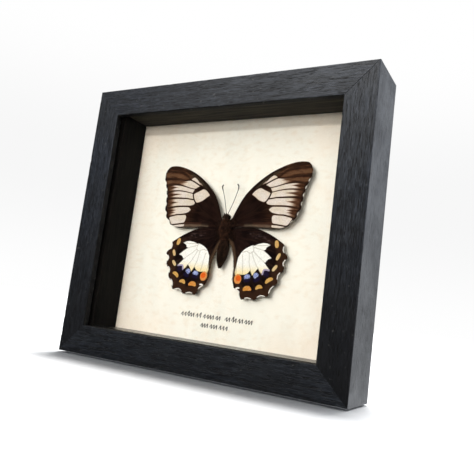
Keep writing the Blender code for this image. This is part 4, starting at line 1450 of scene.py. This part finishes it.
# %% Eyes and palps
def ball(name, middle, half, material, rings=18):
    turns = math.pi * np.arange(rings + 1) / rings
    level = np.ones(rings + 1)
    run = np.stack([middle[0] * level, middle[1] * level, middle[2] + half[2] * np.cos(turns),
                    half[0] * np.sin(turns) + 0.003, half[1] * np.sin(turns) + 0.003], 1)
    return skin_from(name, run, material)


def tube(name, route, radii, material, sides=10):
    """A closed tube along points (in millimetres) with a radius at each."""
    route = np.array(route)
    heading = np.gradient(route, axis=0)
    heading /= np.linalg.norm(heading, axis=1, keepdims=True)
    side = np.cross(heading, (0, 1.0, 0))
    side /= np.linalg.norm(side, axis=1, keepdims=True)
    other = np.cross(heading, side)
    turns = (2 * math.pi * np.arange(sides) / sides)[:, None]
    spokes = side[:, None] * np.cos(turns) + other[:, None] * np.sin(turns)
    shell = route[:, None] + radii[:, None, None] * spokes
    faces = hoop_faces(len(route), sides, other_way=True)
    return make_item(name, shell.reshape(-1, 3) * MM, faces, material)


def compound_eye(tree):
    facets = put(tree, "TexVoronoi", {"Vector": millimetres(tree), "Scale": 9.0}, feature="DISTANCE_TO_EDGE")
    cells = span(tree, facets.outputs["Distance"], 0.0, 0.12)
    lens = blend(tree, span(tree, grainy(tree, 1.0, 2.0), 0.35, 0.7), tone(14, 10, 8), tone(40, 28, 20))
    lens = blend(tree, cells, tone(8, 6, 5), lens)
    return {"Base Color": lens, "Roughness": 0.22, "Normal": relief(tree, cells, 0.02, 0.5)}


eye_material = new_finish("compound_eye", compound_eye)
head_middle = (head_run[:, 2].max() + head_run[:, 2].min()) / 2
for word, side in (("right", 1), ("left", -1)):
    eye_middle = (BODY_X + side * 1.75, body_depth(24.4), head_middle + 0.15)
    ball("eye_" + word, eye_middle, (1.15, 1.35, 1.35), eye_material)
    palp = [(BODY_X + side * (0.45 + 0.12 * t), body_depth(22.9 - 0.25 * t), head_middle + 0.2 + 0.75 * t)
            for t in np.linspace(0, 3, 14)]
    tube("palp_" + word, palp, 0.34 * np.sin(np.linspace(0.35, 2.9, 14)) + 0.02, horn)
print("eyes and palps made")

# %% Antennae
ANTENNAE = {"right": [(0.6, 9.4), (0.7, 10.5), (2.4, 15.0), (4.1, 20.0), (5.4, 25.0), (5.9, 27.5),
                      (5.6, 29.2), (4.6, 30.4)],
            "left": [(-0.5, 9.4), (-0.5, 10.5), (-2.0, 16.0), (-3.5, 21.0), (-5.1, 25.2), (-6.2, 27.8),
                     (-6.2, 29.0), (-5.5, 29.9)]}
JOINT_PITCH = 0.55
ROD_RADIUS = 0.19
rod_finish = new_finish("antenna_rod", bare_horn, tone(30, 24, 20), tone(62, 53, 46))
for word, drawn in ANTENNAE.items():
    line = smooth_line(drawn, 30)
    walked = walked_along(line)
    length = walked[-1]
    steps = np.arange(0, length, JOINT_PITCH / 6)
    out, up = (np.interp(steps, walked, line[:, k]) for k in (0, 1))
    joint = 1 - 0.16 * np.abs(np.cos(math.pi * steps / JOINT_PITCH)) ** 6
    club = 1 + 1.2 * ease(length - 5.5, length - 2.2, steps)
    end = np.sqrt(np.clip((length - steps) / 0.6, 0.02, 1))
    route = np.stack([BODY_X + out, body_depth(24.2 + 0.5 * steps / length), BODY_Z + up], 1)
    rod = tube("antenna_rod_" + word, route, ROD_RADIUS * joint * club * end, rod_finish)
    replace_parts(rod, "antenna_" + word)
print("antennae made")

# %% [markdown]
# ## Floor, light and the room
#
# The piece stands on a plain white floor in a white room.  Broad lamps in front give soft light, and a narrow
# one a little above eye level throws the top rail's shadow as a band on the paper and the wings' shadows down
# to the right.  The room behind the frame and a lamp at the side make its right wall shine grey.  Lamps could
# light everything alike; here wood, paper and floor need different light, so each lamp has a list of what it
# lights.  A floor mesh and a white world are enough, since a wall would hide the back.

# %% Floor
def plain_floor(tree):
    faint = grainy(tree, 0.004, 2.0)
    shade = blend(tree, span(tree, faint, 0.3, 0.7), tone(250, 250, 250), tone(253, 253, 253))
    return {"Base Color": shade, "Roughness": 0.9, "Normal": relief(tree, faint, 0.1, 0.1)}


FLOOR_REACH, FLOOR_DROP = 6.0, -1.0 * MM
angles = 2 * math.pi * np.arange(64) / 64
floor_points = [(FLOOR_REACH * math.cos(a), FLOOR_REACH * math.sin(a), FLOOR_DROP) for a in angles]
floor_mesh = bpy.data.meshes.new("floor")
floor_mesh.from_pydata(floor_points, [], [list(range(len(floor_points)))])
floor_mesh.materials.append(new_finish("plain_floor", plain_floor))
floor = bpy.data.objects.new("floor", floor_mesh)
scene.collection.objects.link(floor)
floor.visible_glossy = floor.visible_transmission = False
print("floor laid")

# %% Room
def white_room():
    """White to the eye; as a light it is bright behind and above the piece and dim in front of it."""
    room = bpy.data.worlds.new("room")
    room.use_nodes = True
    tree = room.node_tree
    background = tree.nodes["Background"].inputs
    way = put(tree, "TexCoord").outputs["Generated"]
    heading = put(tree, "SeparateXYZ", {0: way}).outputs
    behind = span(tree, heading["Y"], -0.35, 0.75, 0.03, 0.85)
    behind = sums(tree, "MULTIPLY", behind, span(tree, heading["Z"], 0.1, -0.4, 1.0, 2.8))
    lean = put(tree, "VectorMath", {0: way, 1: (0.08, 0.40, 0.90)}, operation="DOT_PRODUCT").outputs["Value"]
    glow = sums(tree, "MAXIMUM", behind, span(tree, lean, 0.45, 0.98, 0.0, 1.3))
    from_horizon = sums(tree, "ABSOLUTE", sums(tree, "SUBTRACT", heading["Z"], 0.22))
    seen = put(tree, "LightPath").outputs["Is Camera Ray"]
    sweep = sums(tree, "MULTIPLY", seen, span(tree, from_horizon, 0.02, 0.24, 0.93, 1.0))
    feed(tree, background["Strength"], sums(tree, "MAXIMUM", glow, sweep))
    feed(tree, background["Color"], blend(tree, seen, (0.94, 0.975, 1.02, 1.0), (1.0, 1.0, 1.0, 1.0)))
    return room


scene.world = white_room()
scene.view_settings.view_transform = "Standard"
print("room is white")

# %% Lamps
def light_list(name, *items):
    """A collection that says what a lamp lights."""
    listed = bpy.data.collections.new(name)
    for item in items:
        listed.objects.link(item)
    return listed


def add_light(name, kind, listed, power):
    item = bpy.data.objects.new(name, bpy.data.lights.new(name, kind))
    item.data.energy = power
    item.light_linking.receiver_collection = listed
    scene.collection.objects.link(item)
    return item


wooden = [item for item in scene.objects if item.name.startswith("stained_rail")]
no_wood = light_list("not_floor_or_wood", floor, *wooden)
for row in no_wood.collection_objects:
    row.light_linking.link_state = "EXCLUDE"
only_wood = light_list("only_the_wood", *wooden)
PIECE_MIDDLE = (0, 0, 0.09)
# Each lamp: where it stands, where it points, width and height in metres, watts, and what it lights
LAMPS = {"window": ((-0.42, -1.2, 0.80), PIECE_MIDDLE, (1.1, 1.1), 14.0, no_wood),
         "fill": ((-0.05, -1.5, 0.35), PIECE_MIDDLE, (1.7, 1.4), 22.0, no_wood),
         "high_strip": ((-0.08, -1.6, 0.435), PIECE_MIDDLE, (0.5, 0.1), 9.4, no_wood),
         "bounce": ((0.15, -1.0, 0.02), (0, 0, 0.05), (1.2, 0.4), 12.0, no_wood),
         "rake": ((0.03, -0.27, 0.43), (0.02, 0, 0.12), (0.6, 0.15), 1.7, only_wood),
         "side": ((0.9, 0.12, 0.16), (0.1, 0, 0.08), (0.5, 0.5), 11.0, only_wood)}
for name, (place, target, size, power, listed) in LAMPS.items():
    lamp = add_light(name, "AREA", listed, power)
    lamp.data.shape = "RECTANGLE"
    lamp.data.size, lamp.data.size_y = size
    lamp.location = place
    lamp.rotation_euler = (Vector(target) - Vector(place)).to_track_quat("-Z", "Y").to_euler()
    lamp.visible_transmission = False
    lamp.visible_glossy = name == "rake"
bpy.data.lights["bounce"].color = (1.0, 0.97, 0.93)
overhead = add_light("overhead", "SUN", light_list("only_the_floor", floor), 3.2)
overhead.data.angle = math.radians(10)
overhead.rotation_euler = (math.radians(-10), math.radians(-3), 0)
print(len(LAMPS), "lamps and a sun in place")
